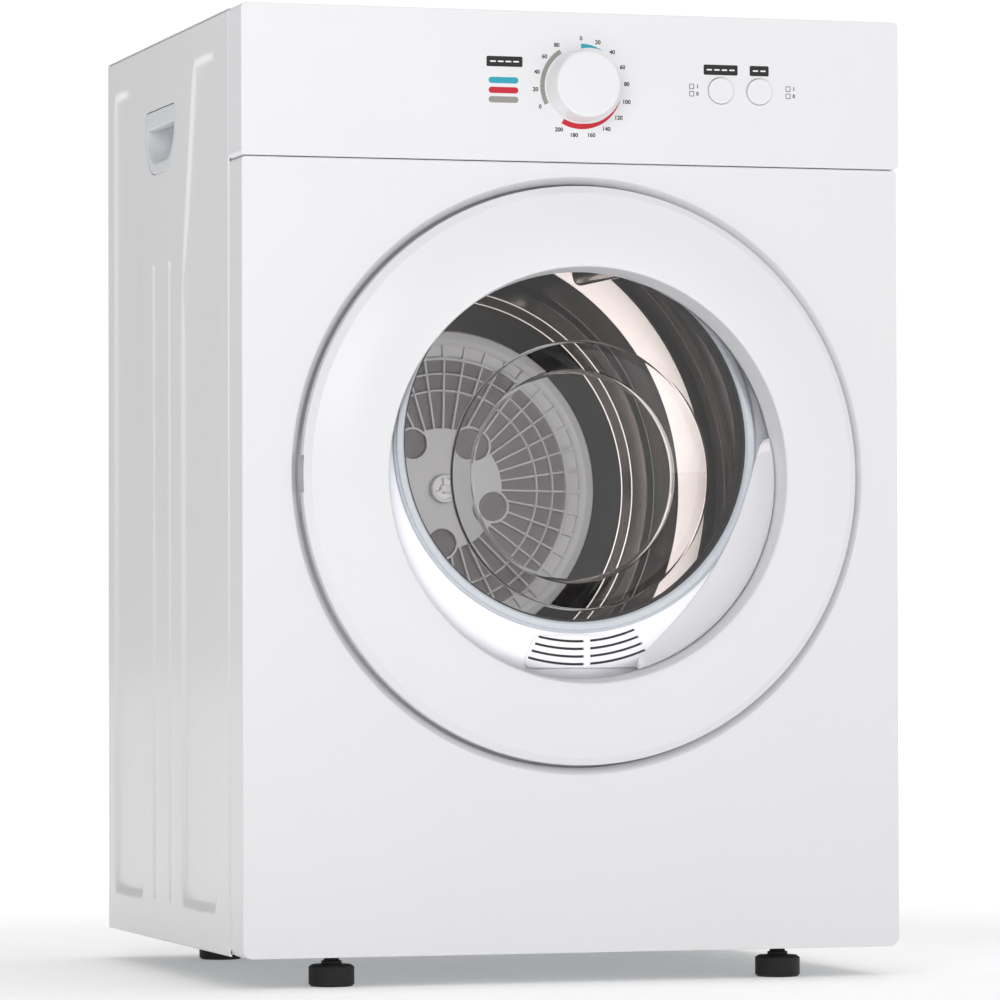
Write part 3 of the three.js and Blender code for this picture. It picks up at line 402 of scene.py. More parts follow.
class Finish(NodeSheet):
    """A material whose nodes end in one Principled shader."""

    def __init__(self, name, **even):
        self.material = bpy.data.materials.new(name)
        super().__init__(self.material)
        self.shader = self.tree.nodes.new("ShaderNodeBsdfPrincipled")
        self.output = self.tree.nodes.new("ShaderNodeOutputMaterial")
        self.tree.links.new(self.shader.outputs[0], self.output.inputs["Surface"])
        for socket, value in even.items():
            self.shader.inputs[socket.replace("_", " ")].default_value = value

    def place(self):
        """The point's own place on the object."""
        return self.node("ShaderNodeTexCoord", result="Object")

    def shifted(self, move, scale=(1, 1, 1)):
        """The point's place with the pattern's centre moved and its axes stretched."""
        back = tuple(-m for m in move)
        moved = self.node("ShaderNodeVectorMath", {"operation": "ADD"}, {0: self.place(), 1: back})
        return self.node("ShaderNodeVectorMath", {"operation": "MULTIPLY"}, {0: moved, 1: scale})

    def parts(self, vector):
        """The x, y and z of a vector as three values."""
        made = self.node("ShaderNodeSeparateXYZ", inputs={0: vector})
        return [Value(self, socket) for socket in made.socket.node.outputs]

    def noise(self, scale, detail=3.0, roughness=0.5, vector=None):
        """Smooth clouds from 0 to 1, scale of them to a metre."""
        vector = vector or self.place()
        return self.node("ShaderNodeTexNoise", None, {
            "Vector": vector, "Scale": scale, "Detail": detail, "Roughness": roughness})

    def cells(self, scale):
        """Scattered cells, each of a random colour."""
        return self.node("ShaderNodeTexVoronoi", None, {
            "Vector": self.place(), "Scale": scale}, "Color")

    def blend(self, factor, first, second):
        """A colour between two colours."""
        return self.node("ShaderNodeMix", {"data_type": "RGBA"},
                         {"Factor": factor, 6: first, 7: second}, result=2)

    def range(self, value, low, high):
        """A 0 to 1 value spread between two numbers."""
        return value * (high - low) + low

    def colour(self, value):
        self.feed(self.shader.inputs["Base Color"], value)
        return self

    def rough(self, value):
        self.feed(self.shader.inputs["Roughness"], value)
        return self

    def bumped(self, height, distance, strength=1.0):
        """Tilts the shading by a height of up to distance metres."""
        normal = self.node("ShaderNodeBump", None, {
            "Height": height, "Distance": distance, "Strength": strength})
        self.feed(self.shader.inputs["Normal"], normal)
        return self


def tinted(colour, factor):
    """A colour made lighter or darker."""
    return tuple(min(1.0, channel * factor) for channel in colour[:3])


def enamel(name, colour):
    """Baked paint on sheet steel: faint orange peel and a soft, uneven gloss."""
    finish = Finish(name, Coat_Weight=0.3, Coat_Roughness=0.12, IOR=1.5)
    cloud = finish.noise(6.0, 2.0)
    peel = finish.noise(420.0, 2.0, 0.6)
    finish.colour(finish.blend(cloud, tinted(colour, 0.985), tinted(colour, 1.01)))
    finish.rough(finish.range(finish.noise(90.0), 0.3, 0.4))
    return finish.bumped(peel, 0.05 * MM, 0.25).material


def moulded(name, colour, gloss=0.35, grain=900.0, depth=0.03):
    """Moulded plastic with a fine even grain and slight flow marks in its tone."""
    finish = Finish(name, IOR=1.48)
    flow = finish.noise(9.0, 2.0)
    fine = finish.noise(grain, 3.0, 0.6)
    finish.colour(finish.blend(flow, tinted(colour, 0.98), tinted(colour, 1.015)))
    finish.rough(finish.range(fine, gloss - 0.05, gloss + 0.06))
    return finish.bumped(fine, depth * MM, 0.3).material


def rubber(name, colour, speckle=1.35):
    """Dull rubber with a fine dusty bloom."""
    finish = Finish(name, IOR=1.45)
    dust = finish.noise(260.0, 4.0, 0.7)
    finish.colour(finish.blend(dust, tinted(colour, 0.8), tinted(colour, speckle)))
    finish.rough(finish.range(finish.noise(60.0), 0.5, 0.72))
    return finish.bumped(finish.noise(700.0, 2.0), 0.08 * MM, 0.5).material


def polished_steel(name, colour, brush=0.0006, gloss=0.1, bands=0.0):
    """Rolled steel polished round the door's axis: fine rings across the run of the polish.

    Bands is the pitch of dark bands painted along the axis as a painted reflection of the drum's dark
    inside, or 0 for none."""
    finish = Finish(name, Metallic=1.0)
    x, y, z = finish.parts(finish.shifted((AXIS.x, 0.0, AXIS.z)))
    radius = (x * x + z * z).math("SQRT")
    line = finish.node("ShaderNodeCombineXYZ", inputs={
        0: radius * POLISH_LINES, 1: y * POLISH_LINES, 2: 0.0})
    rings = finish.noise(1.0, 3.0, 0.65, vector=line)
    smear = finish.noise(14.0, 4.0, 0.6)
    plain = finish.blend(smear, tinted(colour, 0.86), tinted(colour, 1.06))
    # Painted reflection: dark bands along the axis stand in for the dark inside of the drum reflected
    # in the polished wall.
    if bands:
        painted_reflection_wave = (y * (TURN / bands)).sine()
        plain = finish.blend(painted_reflection_wave * 2.5 + 0.6, plain, tinted(colour, 0.12))
    finish.colour(plain)
    finish.rough(finish.range(rings, gloss - 0.03, gloss + 0.03) + smear * 0.03)
    return finish.bumped(rings, brush * MM, 0.02).material


def zinc_sheet(name, colour):
    """Galvanised sheet with its leafy crystals."""
    finish = Finish(name, Metallic=0.9)
    tone = finish.parts(finish.cells(70.0))[0]
    grain = finish.noise(300.0, 3.0)
    finish.colour(finish.blend(tone, tinted(colour, 0.75), tinted(colour, 1.15)))
    finish.rough(finish.range(tone, 0.3, 0.5))
    return finish.bumped(grain, 0.03 * MM, 0.3).material


def turned_metal(name, colour, gloss=0.25):
    """Machined or pressed metal with fine tool lines and light handling marks."""
    finish = Finish(name, Metallic=1.0)
    lines = finish.noise(1.0, 2.0, 0.6, vector=finish.shifted((0, 0, 0), (1400, 120, 1400)))
    marks = finish.noise(45.0, 4.0, 0.7)
    finish.colour(finish.blend(marks, tinted(colour, 0.8), tinted(colour, 1.08)))
    finish.rough(finish.range(marks, gloss, gloss + 0.18))
    return finish.bumped(lines, 0.02 * MM, 0.25).material


def wool_felt(name, colour):
    """Pressed wool: short tangled fibres over a mottled grey."""
    finish = Finish(name, Sheen_Weight=0.4, Sheen_Roughness=0.6)
    fibre = finish.noise(900.0, 5.0, 0.75)
    mottle = finish.noise(80.0, 3.0)
    finish.colour(finish.blend(mottle, tinted(colour, 0.75), tinted(colour, 1.25)))
    finish.rough(finish.range(fibre, 0.85, 1.0))
    return finish.bumped(fibre, 0.4 * MM, 0.7).material


def mesh_cloth(name, colour):
    """A fine woven filter net: square threads with dark gaps."""
    finish = Finish(name, Metallic=0.2)
    x, _, z = finish.parts(finish.place())
    warp = (x * (TURN / (1.6 * MM))).sine()
    weft = (z * (TURN / (1.6 * MM))).sine()
    thread = (warp.math("MAXIMUM", weft) * 0.5 + 0.5).clipped()
    finish.colour(finish.blend(thread, tinted(colour, 0.35), tinted(colour, 1.1)))
    finish.rough(finish.range(thread, 0.7, 0.45))
    return finish.bumped(thread, 0.3 * MM, 0.8).material


def clear_plastic(name, tint, marks=0.012, clear=1.0):
    """Clear moulding: light bends through it, with faint flow smears in its polish."""
    finish = Finish(name, Transmission_Weight=clear, IOR=1.42, Roughness=0.0)
    smear = finish.noise(7.0, 3.0, 0.6)
    finish.colour(finish.blend(smear, tinted(tint, 0.985), tint))
    finish.rough(finish.range(smear, 0.0, marks))
    return finish.material


def printed(name, colour):
    """Screen-printed ink: slightly uneven cover and a satin gloss."""
    finish = Finish(name, IOR=1.48)
    cover = finish.noise(500.0, 3.0, 0.6)
    finish.colour(finish.blend(cover, tinted(colour, 0.92), tinted(colour, 1.12)))
    finish.rough(finish.range(cover, 0.4, 0.55))
    return finish.bumped(cover, 0.02 * MM, 0.3).material


FINISHES = {}


def make_finishes(colours):
    """Makes every finish once, under the name that the pieces ask for."""
    white = tuple(colours.panel)
    plastic = tuple(colours.plastic)
    steel = tuple(colours.drum)
    FINISHES.update(
        enamel=enamel("panel_enamel", white),
        fascia=moulded("fascia_plastic", plastic, 0.38, 1100.0, 0.03),
        ring=moulded("door_ring_plastic", plastic, 0.3, 1100.0, 0.015),
        white=moulded("white_plastic", plastic, 0.4),
        cup=moulded("handle_plastic", (0.70, 0.715, 0.74), 0.36),
        collar=moulded("collar_plastic", (0.86, 0.86, 0.90), 0.34),
        grille=moulded("inlet_plastic", (0.80, 0.80, 0.83), 0.4),
        frame=moulded("door_frame_plastic", (0.5, 0.5, 0.53), 0.4),
        gasket=rubber("mouth_gasket_rubber", (0.50, 0.53, 0.56), 1.06),
        seal=rubber("door_seal_rubber", (0.3, 0.3, 0.31), 1.15),
        dark_seal=rubber("mouth_lip_rubber", (0.016, 0.016, 0.017), 1.4),
        rubber=rubber("black_rubber", (0.012, 0.012, 0.013)),
        black=moulded("black_plastic", (0.02, 0.02, 0.022), 0.45, 700.0),
        grey=moulded("drum_plate_plastic", tuple(colours.drum_plate), 0.42, 700.0),
        knob=moulded("filter_knob_plastic", tinted(colours.drum_plate, 1.25), 0.3),
        # The drum's wall, back and lifters are one steel: the wall is painted lighter and the lifters
        # darker, as painted light and shade.
        shell=polished_steel("drum_shell_steel", tinted(steel, 1.3), 0.0006, 0.16, 72 * MM),
        back=polished_steel("drum_back_steel", tinted(steel, 1.05), 0.0006, 0.13),
        lifter=polished_steel("lifter_steel", tinted(steel, 0.9), 0.0004, 0.1),
        steel=turned_metal("plain_steel", (0.42, 0.42, 0.43)),
        hinge=enamel("hinge_enamel", tinted(white, 0.92)),
        zinc=zinc_sheet("galvanised_sheet", (0.5, 0.52, 0.54)),
        aluminium=turned_metal("aluminium", (0.72, 0.72, 0.73), 0.3),
        felt=wool_felt("wool_felt", (0.34, 0.33, 0.31)),
        net=mesh_cloth("filter_net", (0.30, 0.27, 0.275)),
        window=clear_plastic("window_plastic", (0.97, 0.97, 0.985)),
        # The pull lets only 0.3 of the light through and shows milky white: a painted highlight for the
        # white glints along its clear lip.
        pull=clear_plastic("pull_plastic", (0.96, 0.95, 0.98), 0.03, 0.3),
        ink=printed("black_ink", (0.012, 0.012, 0.013)),
        teal=printed("teal_ink", tuple(colours.cool)),
        red=printed("red_ink", tuple(colours.hot)),
        slate=printed("grey_ink", tuple(colours.air)),
        pale=printed("pale_ink", (0.82, 0.82, 0.82)),
    )


# ---- Cabinet --------------------------------------------------------------------------------


def front_panel(sizes):
    """The front sheet: a ray from the door's axis runs over the recess and out to the edge."""
    fold = sizes.fold
    outline = divided(rounded([
        (PANEL_LOW.x, PANEL_LOW.z, 9 * MM), (PANEL_HIGH.x, PANEL_LOW.z, 9 * MM),
        (PANEL_HIGH.x, PANEL_HIGH.z, 4 * MM), (PANEL_LOW.x, PANEL_HIGH.z, 4 * MM),
    ], steps=8), 9 * MM)
    ray = outline - (AXIS.x, AXIS.z)
    ray = ray / np.linalg.norm(ray, axis=1, keepdims=True)
    recess = rounded([
        (RING_RADIUS - 38 * MM, sizes.recess, 0), (RING_RADIUS + 1.8 * MM, sizes.recess, 1 * MM),
        (RING_RADIUS + 2.4 * MM, 8 * MM, 1.5 * MM), (RING_RADIUS + 8.5 * MM, 0, 2 * MM),
        (RING_RADIUS + 14 * MM, 0, 0),
    ], closed=False)
    rows = [upright((AXIS.x, AXIS.z) + radius * ray, FACE + depth) for radius, depth in recess]
    start, end = rows[-1], upright(inset(outline, fold + 0.6 * MM), FACE)
    rows += [start + (end - start) * t for t in np.linspace(0, 1, 7)[1:]]
    for angle in np.linspace(0, math.pi / 2, 6):
        inward, depth = fold * (1 - math.sin(angle)), fold * (1 - math.cos(angle))
        rows.append(upright(inset(outline, inward), FACE + depth))
    rows.append(upright(outline, PANEL_HIGH.y))
    sheet = grid(np.stack(rows), close_columns=True)
    piece("front_sheet", sheet, FINISHES["enamel"], "cabinet", ["front_panel"], wall=MM)


def inside_of(y, z, sides):
    """How far (y, z) lies inside a shape of straight sides; its corners come out rounded."""
    soft = 7 * MM
    total = np.zeros(np.broadcast(y, z).shape)
    for (ay, az), (by, bz) in sides:
        length = math.hypot(by - ay, bz - az)
        away = ((by - ay) * (z - az) - (bz - az) * (y - ay)) / length
        total = total + np.exp(-away / soft)
    return -soft * np.log(total)


def spaced(keys, steps):
    """Places between successive keys, cut into the given number of steps each."""
    runs = [np.linspace(a, b, n, endpoint=False) for a, b, n in zip(keys, keys[1:], steps)]
    return np.concatenate(runs + [keys[-1:]])


def side_panel_grid(sizes):
    """The left side sheet as points: two long sunk fields, two narrow flutes and rolled edges."""
    wall = sizes.emboss_wall
    foot, head = SIDE_LOW.z + 38 * MM, SIDE_HIGH.z - 33 * MM
    knee_high, knee_front, knee_rear = head - 3 * MM, SIDE_LOW.z + 594 * MM, SIDE_LOW.z + 611 * MM
    front, rear = SIDE_LOW.y + 47.5 * MM, SIDE_HIGH.y - 29.5 * MM
    flutes = [SIDE_LOW.y + 225 * MM, SIDE_LOW.y + 288 * MM]
    flute_foot, flute_head = SIDE_LOW.z + 42 * MM, SIDE_LOW.z + 612 * MM

    z = spaced([SIDE_LOW.z, SIDE_LOW.z + 4 * MM, foot - wall, foot + 3 * wall, knee_front, knee_rear,
                flute_head + 2 * wall, head - 5 * wall, head + wall, SIDE_HIGH.z - 6 * MM, SIDE_HIGH.z],
               [4, 4, 14, 40, 4, 8, 16, 20, 3, 6])[:, None]
    slope = np.clip((z - knee_front) / (knee_high - knee_front), 0, 1)
    front_field_rear = SIDE_LOW.y + 177 * MM - 47 * MM * slope
    rear_field_front = SIDE_LOW.y + 334 * MM + 55 * MM * slope
    keys = [0 * z + SIDE_LOW.y, 0 * z + SIDE_LOW.y + 3 * MM]
    for edge in (0 * z + front, front_field_rear):
        keys += [edge - wall / 2, edge + wall / 2]
    for flute in flutes:
        keys += [0 * z + flute - 6 * MM, 0 * z + flute + 6 * MM]
    for edge in (rear_field_front, 0 * z + rear):
        keys += [edge - wall / 2, edge + wall / 2]
    keys += [0 * z + SIDE_HIGH.y - 4 * MM, 0 * z + SIDE_HIGH.y]
    steps = [4, 4, 6, 4, 6, 5, 8, 4, 8, 5, 6, 4, 6, 4, 4]
    runs = [a + (b - a) * np.arange(n) / n for a, b, n in zip(keys, keys[1:], steps)]
    y = np.hstack(runs + [keys[-1]])

    knee = SIDE_LOW.y + 177 * MM
    shoulder = SIDE_LOW.y + 130 * MM
    front_field = [((front, foot), (knee, foot)), ((knee, foot), (knee, knee_front)),
                   ((knee, knee_front), (shoulder, knee_high)), ((shoulder, head), (front, head)),
                   ((front, head), (front, foot))]
    knee = SIDE_LOW.y + 334 * MM
    shoulder = SIDE_LOW.y + 389 * MM
    rear_field = [((knee, foot), (rear, foot)), ((rear, foot), (rear, head)),
                  ((rear, head), (shoulder, head)), ((shoulder, knee_high), (knee, knee_front)),
                  ((knee, knee_front), (knee, foot))]
    sunk = 0 * y
    for field in (front_field, rear_field):
        sunk = sunk + sizes.emboss * ease(inside_of(y, z, field) / wall + 0.5)
    for flute in flutes:
        end = np.maximum(0, np.maximum(flute_foot - z, z - flute_head))
        away = np.hypot(y - flute, end)
        sunk = sunk + sizes.flute * ease(1 - away / (6 * MM))
    roll = 1.6 * MM
    edge = np.minimum(np.minimum(y - SIDE_LOW.y, SIDE_HIGH.y - y),
                      np.minimum((z - SIDE_LOW.z), (SIDE_HIGH.z - z)))
    edge = np.clip(edge, 0, roll)
    fallen = roll - np.sqrt(np.maximum(0, roll ** 2 - (roll - edge) ** 2))
    x = CAD_LOW.x + sunk + fallen
    return np.stack([x, y, z + 0 * y], axis=-1)


def handle_outline(grow):
    """The hand hold's outline in (y, z): a straight top and a deep round bottom."""
    low_y, high_y = CUP_LOW.y + 5 * MM - grow, CUP_HIGH.y - 5 * MM + grow
    low_z, high_z = CUP_LOW.z + 5 * MM - grow, CUP_HIGH.z - 5 * MM + grow
    return rounded([(low_y, low_z, 44 * MM + grow), (high_y, low_z, 44 * MM + grow),
                    (high_y, high_z, 13 * MM + grow), (low_y, high_z, 13 * MM + grow)], steps=12)


def sideways(outline, x):
    """A flat (y, z) outline stood up at x."""
    return np.stack([np.full(len(outline), x), outline[:, 0], outline[:, 1]], axis=-1)


def hand_hold():
    """The moulded cup: a flush rim, then rings that close on a pocket high up inside."""
    outline = divided(handle_outline(-0.4 * MM), 4 * MM)
    top = CUP_HIGH.z - 22 * MM
    slot = divided(handle_outline(-11 * MM), 4 * MM)
    slot = np.stack([slot[:, 0], np.minimum(slot[:, 1], top)], axis=-1)
    count = len(outline)
    turn = np.linspace(0, 1, count, endpoint=False)
    slot_turn = np.linspace(0, 1, len(slot), endpoint=False)
    slot = np.stack([np.interp(turn, slot_turn, slot[:, k], period=1) for k in (0, 1)], axis=-1)
    floor_low = CUP_LOW.z + 36 * MM
    pocket = np.stack([slot[:, 0] * 0.9 + 0.1 * slot[:, 0].mean(),
                       np.clip(slot[:, 1] + 10 * MM, floor_low, top + 6 * MM)], axis=-1)
    face = CAD_LOW.x + 0.3 * MM
    bottom = CUP_HIGH.x - 2.5 * MM
    rings = [sideways(outline, face + 1.2 * MM), sideways(inset(outline, 0.4 * MM), face + 0.3 * MM),
             sideways(inset(outline, 1.2 * MM), face)]
    wide = inset(outline, 1.2 * MM)
    rings += [sideways(wide + (slot - wide) * t, face) for t in (0.5, 0.93)]
    rings += [sideways(slot, face + 0.7 * MM)]
    for t in np.linspace(0, 1, 9)[1:]:
        rings.append(sideways(slot + (pocket - slot) * ease(t * 0.9) / ease(0.9),
                              face + (bottom - face) * t ** 0.8))
    return carried(rings, cap_first=False)


def side_panels(sizes):
    """Both side sheets with their hand holds."""
    outer = side_panel_grid(sizes)
    sheet = shell(outer, outer + (MM, 0, 0))
    flanges = []
    for y, inward in ((SIDE_LOW.y, 1), (SIDE_HIGH.y, -1)):
        low = (CAD_LOW.x + 1.6 * MM, min(y, y + inward * MM), SIDE_LOW.z + 2 * MM)
        high = (SIDE_HIGH.x, max(y, y + inward * MM), SIDE_HIGH.z - 2 * MM)
        flanges.append(box_shape(low, high))
    hole = carried([sideways(handle_outline(0), x)
                    for x in (CAD_LOW.x - 5 * MM, CAD_LOW.x + 9 * MM)])
    for side, flip in (("left", False), ("right", True)):
        shapes = [sheet, *flanges, hole, hand_hold()]
        if flip:
            shapes = [shape.mirrored() for shape in shapes]
        skin, front, rear, cutter, cup = shapes
        piece(f"side_sheet_{side}", skin, FINISHES["enamel"], "cabinet",
              [f"side_panel_{side}"], holes=[cutter], crease=50)
        piece(f"side_flanges_{side}", front + rear, FINISHES["enamel"], "cabinet")
        piece(f"hand_hold_{side}", cup, FINISHES["cup"], "cabinet",
              [f"handle_cup_{side}"], wall=2 * MM, crease=60)


def bore(node, radius):
    """A round cutter through the fascia, about the middle of one of its controls."""
    middle = middle_of(node)
    ring = circle(radius, 48, middle.x, middle.z)
    return carried([upright(ring, FASCIA_FACE - 5 * MM), upright(ring, FASCIA_FACE + 9 * MM)])


def fascia(sizes):
    """The control panel: a rounded tray over the top of the front, bored for its controls."""
    edge = sizes.fascia_edge
    low = FASCIA_LOW.z - sizes.fascia_lip
    outline = divided(rounded([
        (FASCIA_LOW.x, low, 4 * MM), (FASCIA_HIGH.x, low, 4 * MM),
        (FASCIA_HIGH.x, FASCIA_HIGH.z, 4.5 * MM), (FASCIA_LOW.x, FASCIA_HIGH.z, 4.5 * MM),
    ], steps=8), 20 * MM)
    rings = [upright(inset(outline, edge + 1 * MM), FASCIA_FACE)]
    for angle in np.linspace(0, math.pi / 2, 6):
        inward, depth = edge * (1 - math.sin(angle)), edge * (1 - math.cos(angle))
        rings.append(upright(inset(outline, inward), FASCIA_FACE + depth))
    rings.append(upright(outline, FASCIA_HIGH.y))
    tray = carried(rings, cap_last=False)
    bores = [bore(node, CAP_RADIUS + sizes.button_gap) for node in BUTTONS]
    bores.append(bore("timer_unit", radius_of("timer_unit") - TIMER_SEAT))
    piece("fascia", tray, FINISHES["fascia"], "cabinet", ["control_panel"],
          wall=2.5 * MM, holes=bores)


def feet():
    """Four levelling feet: a rubber pad, a nut and a short threaded stem."""
    for node in ("foot_front_left", "foot_front_right", "foot_rear_left", "foot_rear_right"):
        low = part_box(node)[0]
        radius = radius_of(node)
        profile = [(0, 0), (radius - 2 * MM, 0), (radius, 2 * MM), (radius, 17 * MM),
                   (radius - 3 * MM, 19 * MM), (9 * MM, 19 * MM), (9 * MM, 22 * MM),
                   (7 * MM, 22.6 * MM)]
        for step in range(28):
            groove = 0.6 * MM * (step % 2)
            profile.append((7 * MM - groove, 23 * MM + 1.0 * MM * step))
        profile.append((0, 50 * MM))
        stand = Matrix.Translation((low.x + radius, low.y + radius, 0)) @ UPRIGHT
        pad = lathe(profile, 0, 0, 48).changed(stand)
        piece(node + "_pad", pad, FINISHES["rubber"], node, [node])


# ---- Controls -------------------------------------------------------------------------------


def sector(start, end, inner, outer, front, back):
    """A thin raised band round the dial, angles clockwise from the top, radii as functions."""
    t = np.linspace(0, 1, 49)
    angle = np.radians(start + (end - start) * t)
    edge = [np.stack([KNOB.x + radius(t) * np.sin(angle), KNOB.z + radius(t) * np.cos(angle)], axis=-1)
            for radius in (inner, outer)]
    surfaces = [np.stack([upright(line, y) for line in edge]) for y in (front, back)]
    return shell(*surfaces)


def lettered(text, size, x, z, thick):
    """A number as a thin raised mesh shape on the fascia, centred on (x, z)."""
    curve = bpy.data.curves.new("number", "FONT")
    curve.body = text
    curve.size = size
    curve.align_x = "CENTER"
    curve.align_y = "CENTER"
    curve.extrude = thick / 2
    curve.offset = 0.03 * size
    curve.resolution_u = 4
    holder = bpy.data.objects.new("number", curve)
    bpy.context.scene.collection.objects.link(holder)
    bpy.context.view_layer.update()
    seen = holder.evaluated_get(bpy.context.evaluated_depsgraph_get())
    mesh = bpy.data.meshes.new_from_object(seen)
    points = np.empty(len(mesh.vertices) * 3)
    mesh.vertices.foreach_get("co", points)
    faces = [list(face.vertices) for face in mesh.polygons]
    bpy.data.objects.remove(holder)
    bpy.data.meshes.remove(mesh)
    return Shape(points, faces).changed(Matrix.Translation((x, FASCIA_FACE, z)) @ UPRIGHT)


def pill(x, z, width, height, radius):
    """A small label outline with round ends or corners."""
    return rounded([(x - width / 2, z - height / 2, radius), (x + width / 2, z - height / 2, radius),
                    (x + width / 2, z + height / 2, radius), (x - width / 2, z + height / 2, radius)])


def ink_plate(outline, sizes, lift=0.0):
    """A flat mark of the ink's thickness, or thicker by lift to stand over another mark."""
    return plate(outline, FASCIA_FACE - sizes.ink - lift, FASCIA_FACE + INK_ROOT)


def print_mark(name, shape, ink):
    """Makes a printed mark on the fascia."""
    piece(name, shape, FINISHES[ink], "cabinet")


def band_rim(t):
    """The outer edge of every band."""
    return BAND_RIM + 0 * t


def cool_edge(t):
    """The inner edge of the short band, which thins away clockwise."""
    return BAND_RIM - 4.2 * MM * (1 - t) ** 1.2 - 0.15 * MM


def hot_edge(t):
    """The inner edge of the long band, which widens over its first two thirds."""
    return BAND_RIM - 4.6 * MM * np.minimum(1, t * 1.5) - 0.15 * MM


def air_edge(t):
    """The inner edge of the grey band, which is even."""
    return BAND_RIM - 4.0 * MM + 0 * t


def dial_bands(sizes):
    """The three coloured bands round the dial."""
    bands = (("cool", 0, 32, cool_edge), ("hot", 107, 209, hot_edge), ("air", 243, 328, air_edge))
    for name, start, end, edge in bands:
        band = sector(start, end, edge, band_rim, FASCIA_FACE - sizes.ink, FASCIA_FACE + INK_ROOT)
        print_mark(f"dial_band_{name}", band, BAND_INKS[name])


def dial_numbers(sizes):
    """The minutes round the dial, each at its own angle clockwise from the top."""
    marks = [("0", 0), ("20", 21.6), ("40", 43), ("60", 65), ("80", 86), ("100", 107), ("120", 128),
             ("140", 148), ("160", 168), ("180", 189), ("200", 208), ("0", 243.5), ("20", 265),
             ("40", 286), ("60", 307), ("80", 328)]
    numbers = []
    for text, turn in marks:
        reach = sizes.number_radius + (1.5 * MM if len(text) > 2 else 0)
        x = KNOB.x + reach * math.sin(math.radians(turn))
        z = KNOB.z + reach * math.cos(math.radians(turn))
        numbers.append(lettered(text, sizes.number, x, z, sizes.ink))
    print_mark("dial_numbers", together(numbers), "ink")


def heading_bar(x, z, width, sizes):
    """The black bar that a heading stands on."""
    return ink_plate(pill(x, z, width, 9 * MM, 1.2 * MM), sizes)


def strokes_on(x, z, count, width, sizes):
    """A row of plain pale strokes in place of a heading's words."""
    places = [x + (k - (count - 1) / 2) * 7 * MM for k in range(count)]
    return [ink_plate(pill(place, z, width, 1.3 * MM, 0.5 * MM), sizes, 0.04 * MM)
            for place in places]


def dial_keys(sizes):
    """The dial's heading and the three coloured keys under it."""
    print_mark("dial_heading", heading_bar(LABEL_X, LABEL_Z, 32.7 * MM, sizes), "ink")
    for name, drop in (("cool", 3.6), ("hot", -5.1), ("air", -13.3)):
        outline = pill(LABEL_X - 1 * MM, KNOB.z + drop * MM, 27 * MM, 5.4 * MM, 2.6 * MM)
        print_mark(f"dial_key_{name}", ink_plate(outline, sizes), BAND_INKS[name])


def button_headings(sizes):
    """The bars over the push buttons, and the strokes on every heading."""
    strokes = strokes_on(LABEL_X, LABEL_Z, 4, 5.4 * MM, sizes)
    for node, width, count in (("sensor_button", 31.6 * MM, 4), ("mode_button", 17.7 * MM, 2)):
        middle = middle_of(node)
        z = middle.z + 18.4 * MM
        print_mark(f"{node}_heading", heading_bar(middle.x, z, width, sizes), "ink")
        strokes += strokes_on(middle.x, z, count, 5 * MM, sizes)
    print_mark("heading_strokes", together(strokes), "pale")


def button_signs(sizes):
    """The small squares beside the push buttons, each with a 1 or a 0."""
    front, back = FASCIA_FACE - sizes.ink, FASCIA_FACE + INK_ROOT
    signs = []
    for node, side in zip(BUTTONS, (-1, 1)):
        middle = middle_of(node)
        square_x = middle.x + side * 27 * MM
        text_x = middle.x + (side * 27 + 5.4) * MM
        for text, lift in (("1", 3.2 * MM), ("0", -3.2 * MM)):
            outer = pill(square_x, middle.z + lift, 4.4 * MM, 4.6 * MM, 0.5 * MM)
            inner = inset(outer, 0.48 * MM)
            rings = [upright(outer, back), upright(outer, front),
                     upright(inner, front), upright(inner, back)]
            signs.append(grid(np.stack(rings), close_rows=True, close_columns=True))
            signs.append(lettered(text, 4.6 * MM, text_x, middle.z + lift, sizes.ink))
    print_mark("button_signs", together(signs), "ink")


def timer_dial():
    """The timer knob, turned from one profile, with its pointer line cut in the face."""
    low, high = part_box("timer_knob")
    radius = radius_of("timer_knob")
    face, seat = low.y, FASCIA_FACE - 0.35 * MM
    flank = rounded([(radius * 0.5, face + 0.12 * MM, 0),
                     (radius - 2.2 * MM, face + 0.5 * MM, 2.4 * MM),
                     (radius - 0.6 * MM, seat - 3 * MM, 1.5 * MM),
                     (radius, seat - 1.6 * MM, 0.8 * MM), (radius, seat, 0.3 * MM),
                     (SHAFT_RADIUS, seat, 0)], closed=False, steps=8)
    profile = [(0, face), *flank.tolist(), (SHAFT_RADIUS, high.y), (0, high.y)]
    pointer = plate(pill(KNOB.x, KNOB.z + radius - 7 * MM, 1.3 * MM, 6 * MM, 0.6 * MM),
                    face - MM, face + 0.75 * MM)
    piece("timer_dial", lathe(profile, KNOB.x, KNOB.z, 128), FINISHES["ring"], "timer_knob",
          ["timer_knob"], holes=[pointer])


def push_buttons():
    """The two push buttons: a dished cap, a collar that stops it and a stem."""
    for node in BUTTONS:
        low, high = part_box(node)
        middle = middle_of(node)
        stop, stem = radius_of(node), 5 * MM
        cap = rounded([(0, low.y + 0.25 * MM, 0), (CAP_RADIUS * 0.8, low.y + 0.1 * MM, 3 * MM),
                       (CAP_RADIUS, low.y, 1.1 * MM), (CAP_RADIUS, high.y - 9 * MM, 0)],
                      closed=False)
        profile = [*cap.tolist(), (stop, high.y - 9 * MM), (stop, high.y - 7 * MM),
                   (stem, high.y - 7 * MM), (stem, high.y), (0, high.y)]
        piece(node + "_cap", lathe(profile, middle.x, middle.z, 64), FINISHES["ring"], node,
              [node])


# ---- Door -----------------------------------------------------------------------------------


def hinge_relief():
    """The block taken out of the ring's rim behind the bevel, where the hinge strap passes."""
    low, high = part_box("hinge_leaf")
    height = middle_of("hinge_leaf").z
    reach = 16 * MM
    return box_shape((AXIS.x - RING_RADIUS - MM, FACE - 6 * MM, height - reach),
                     (low.x + 11 * MM, high.y + 5 * MM, height + reach))


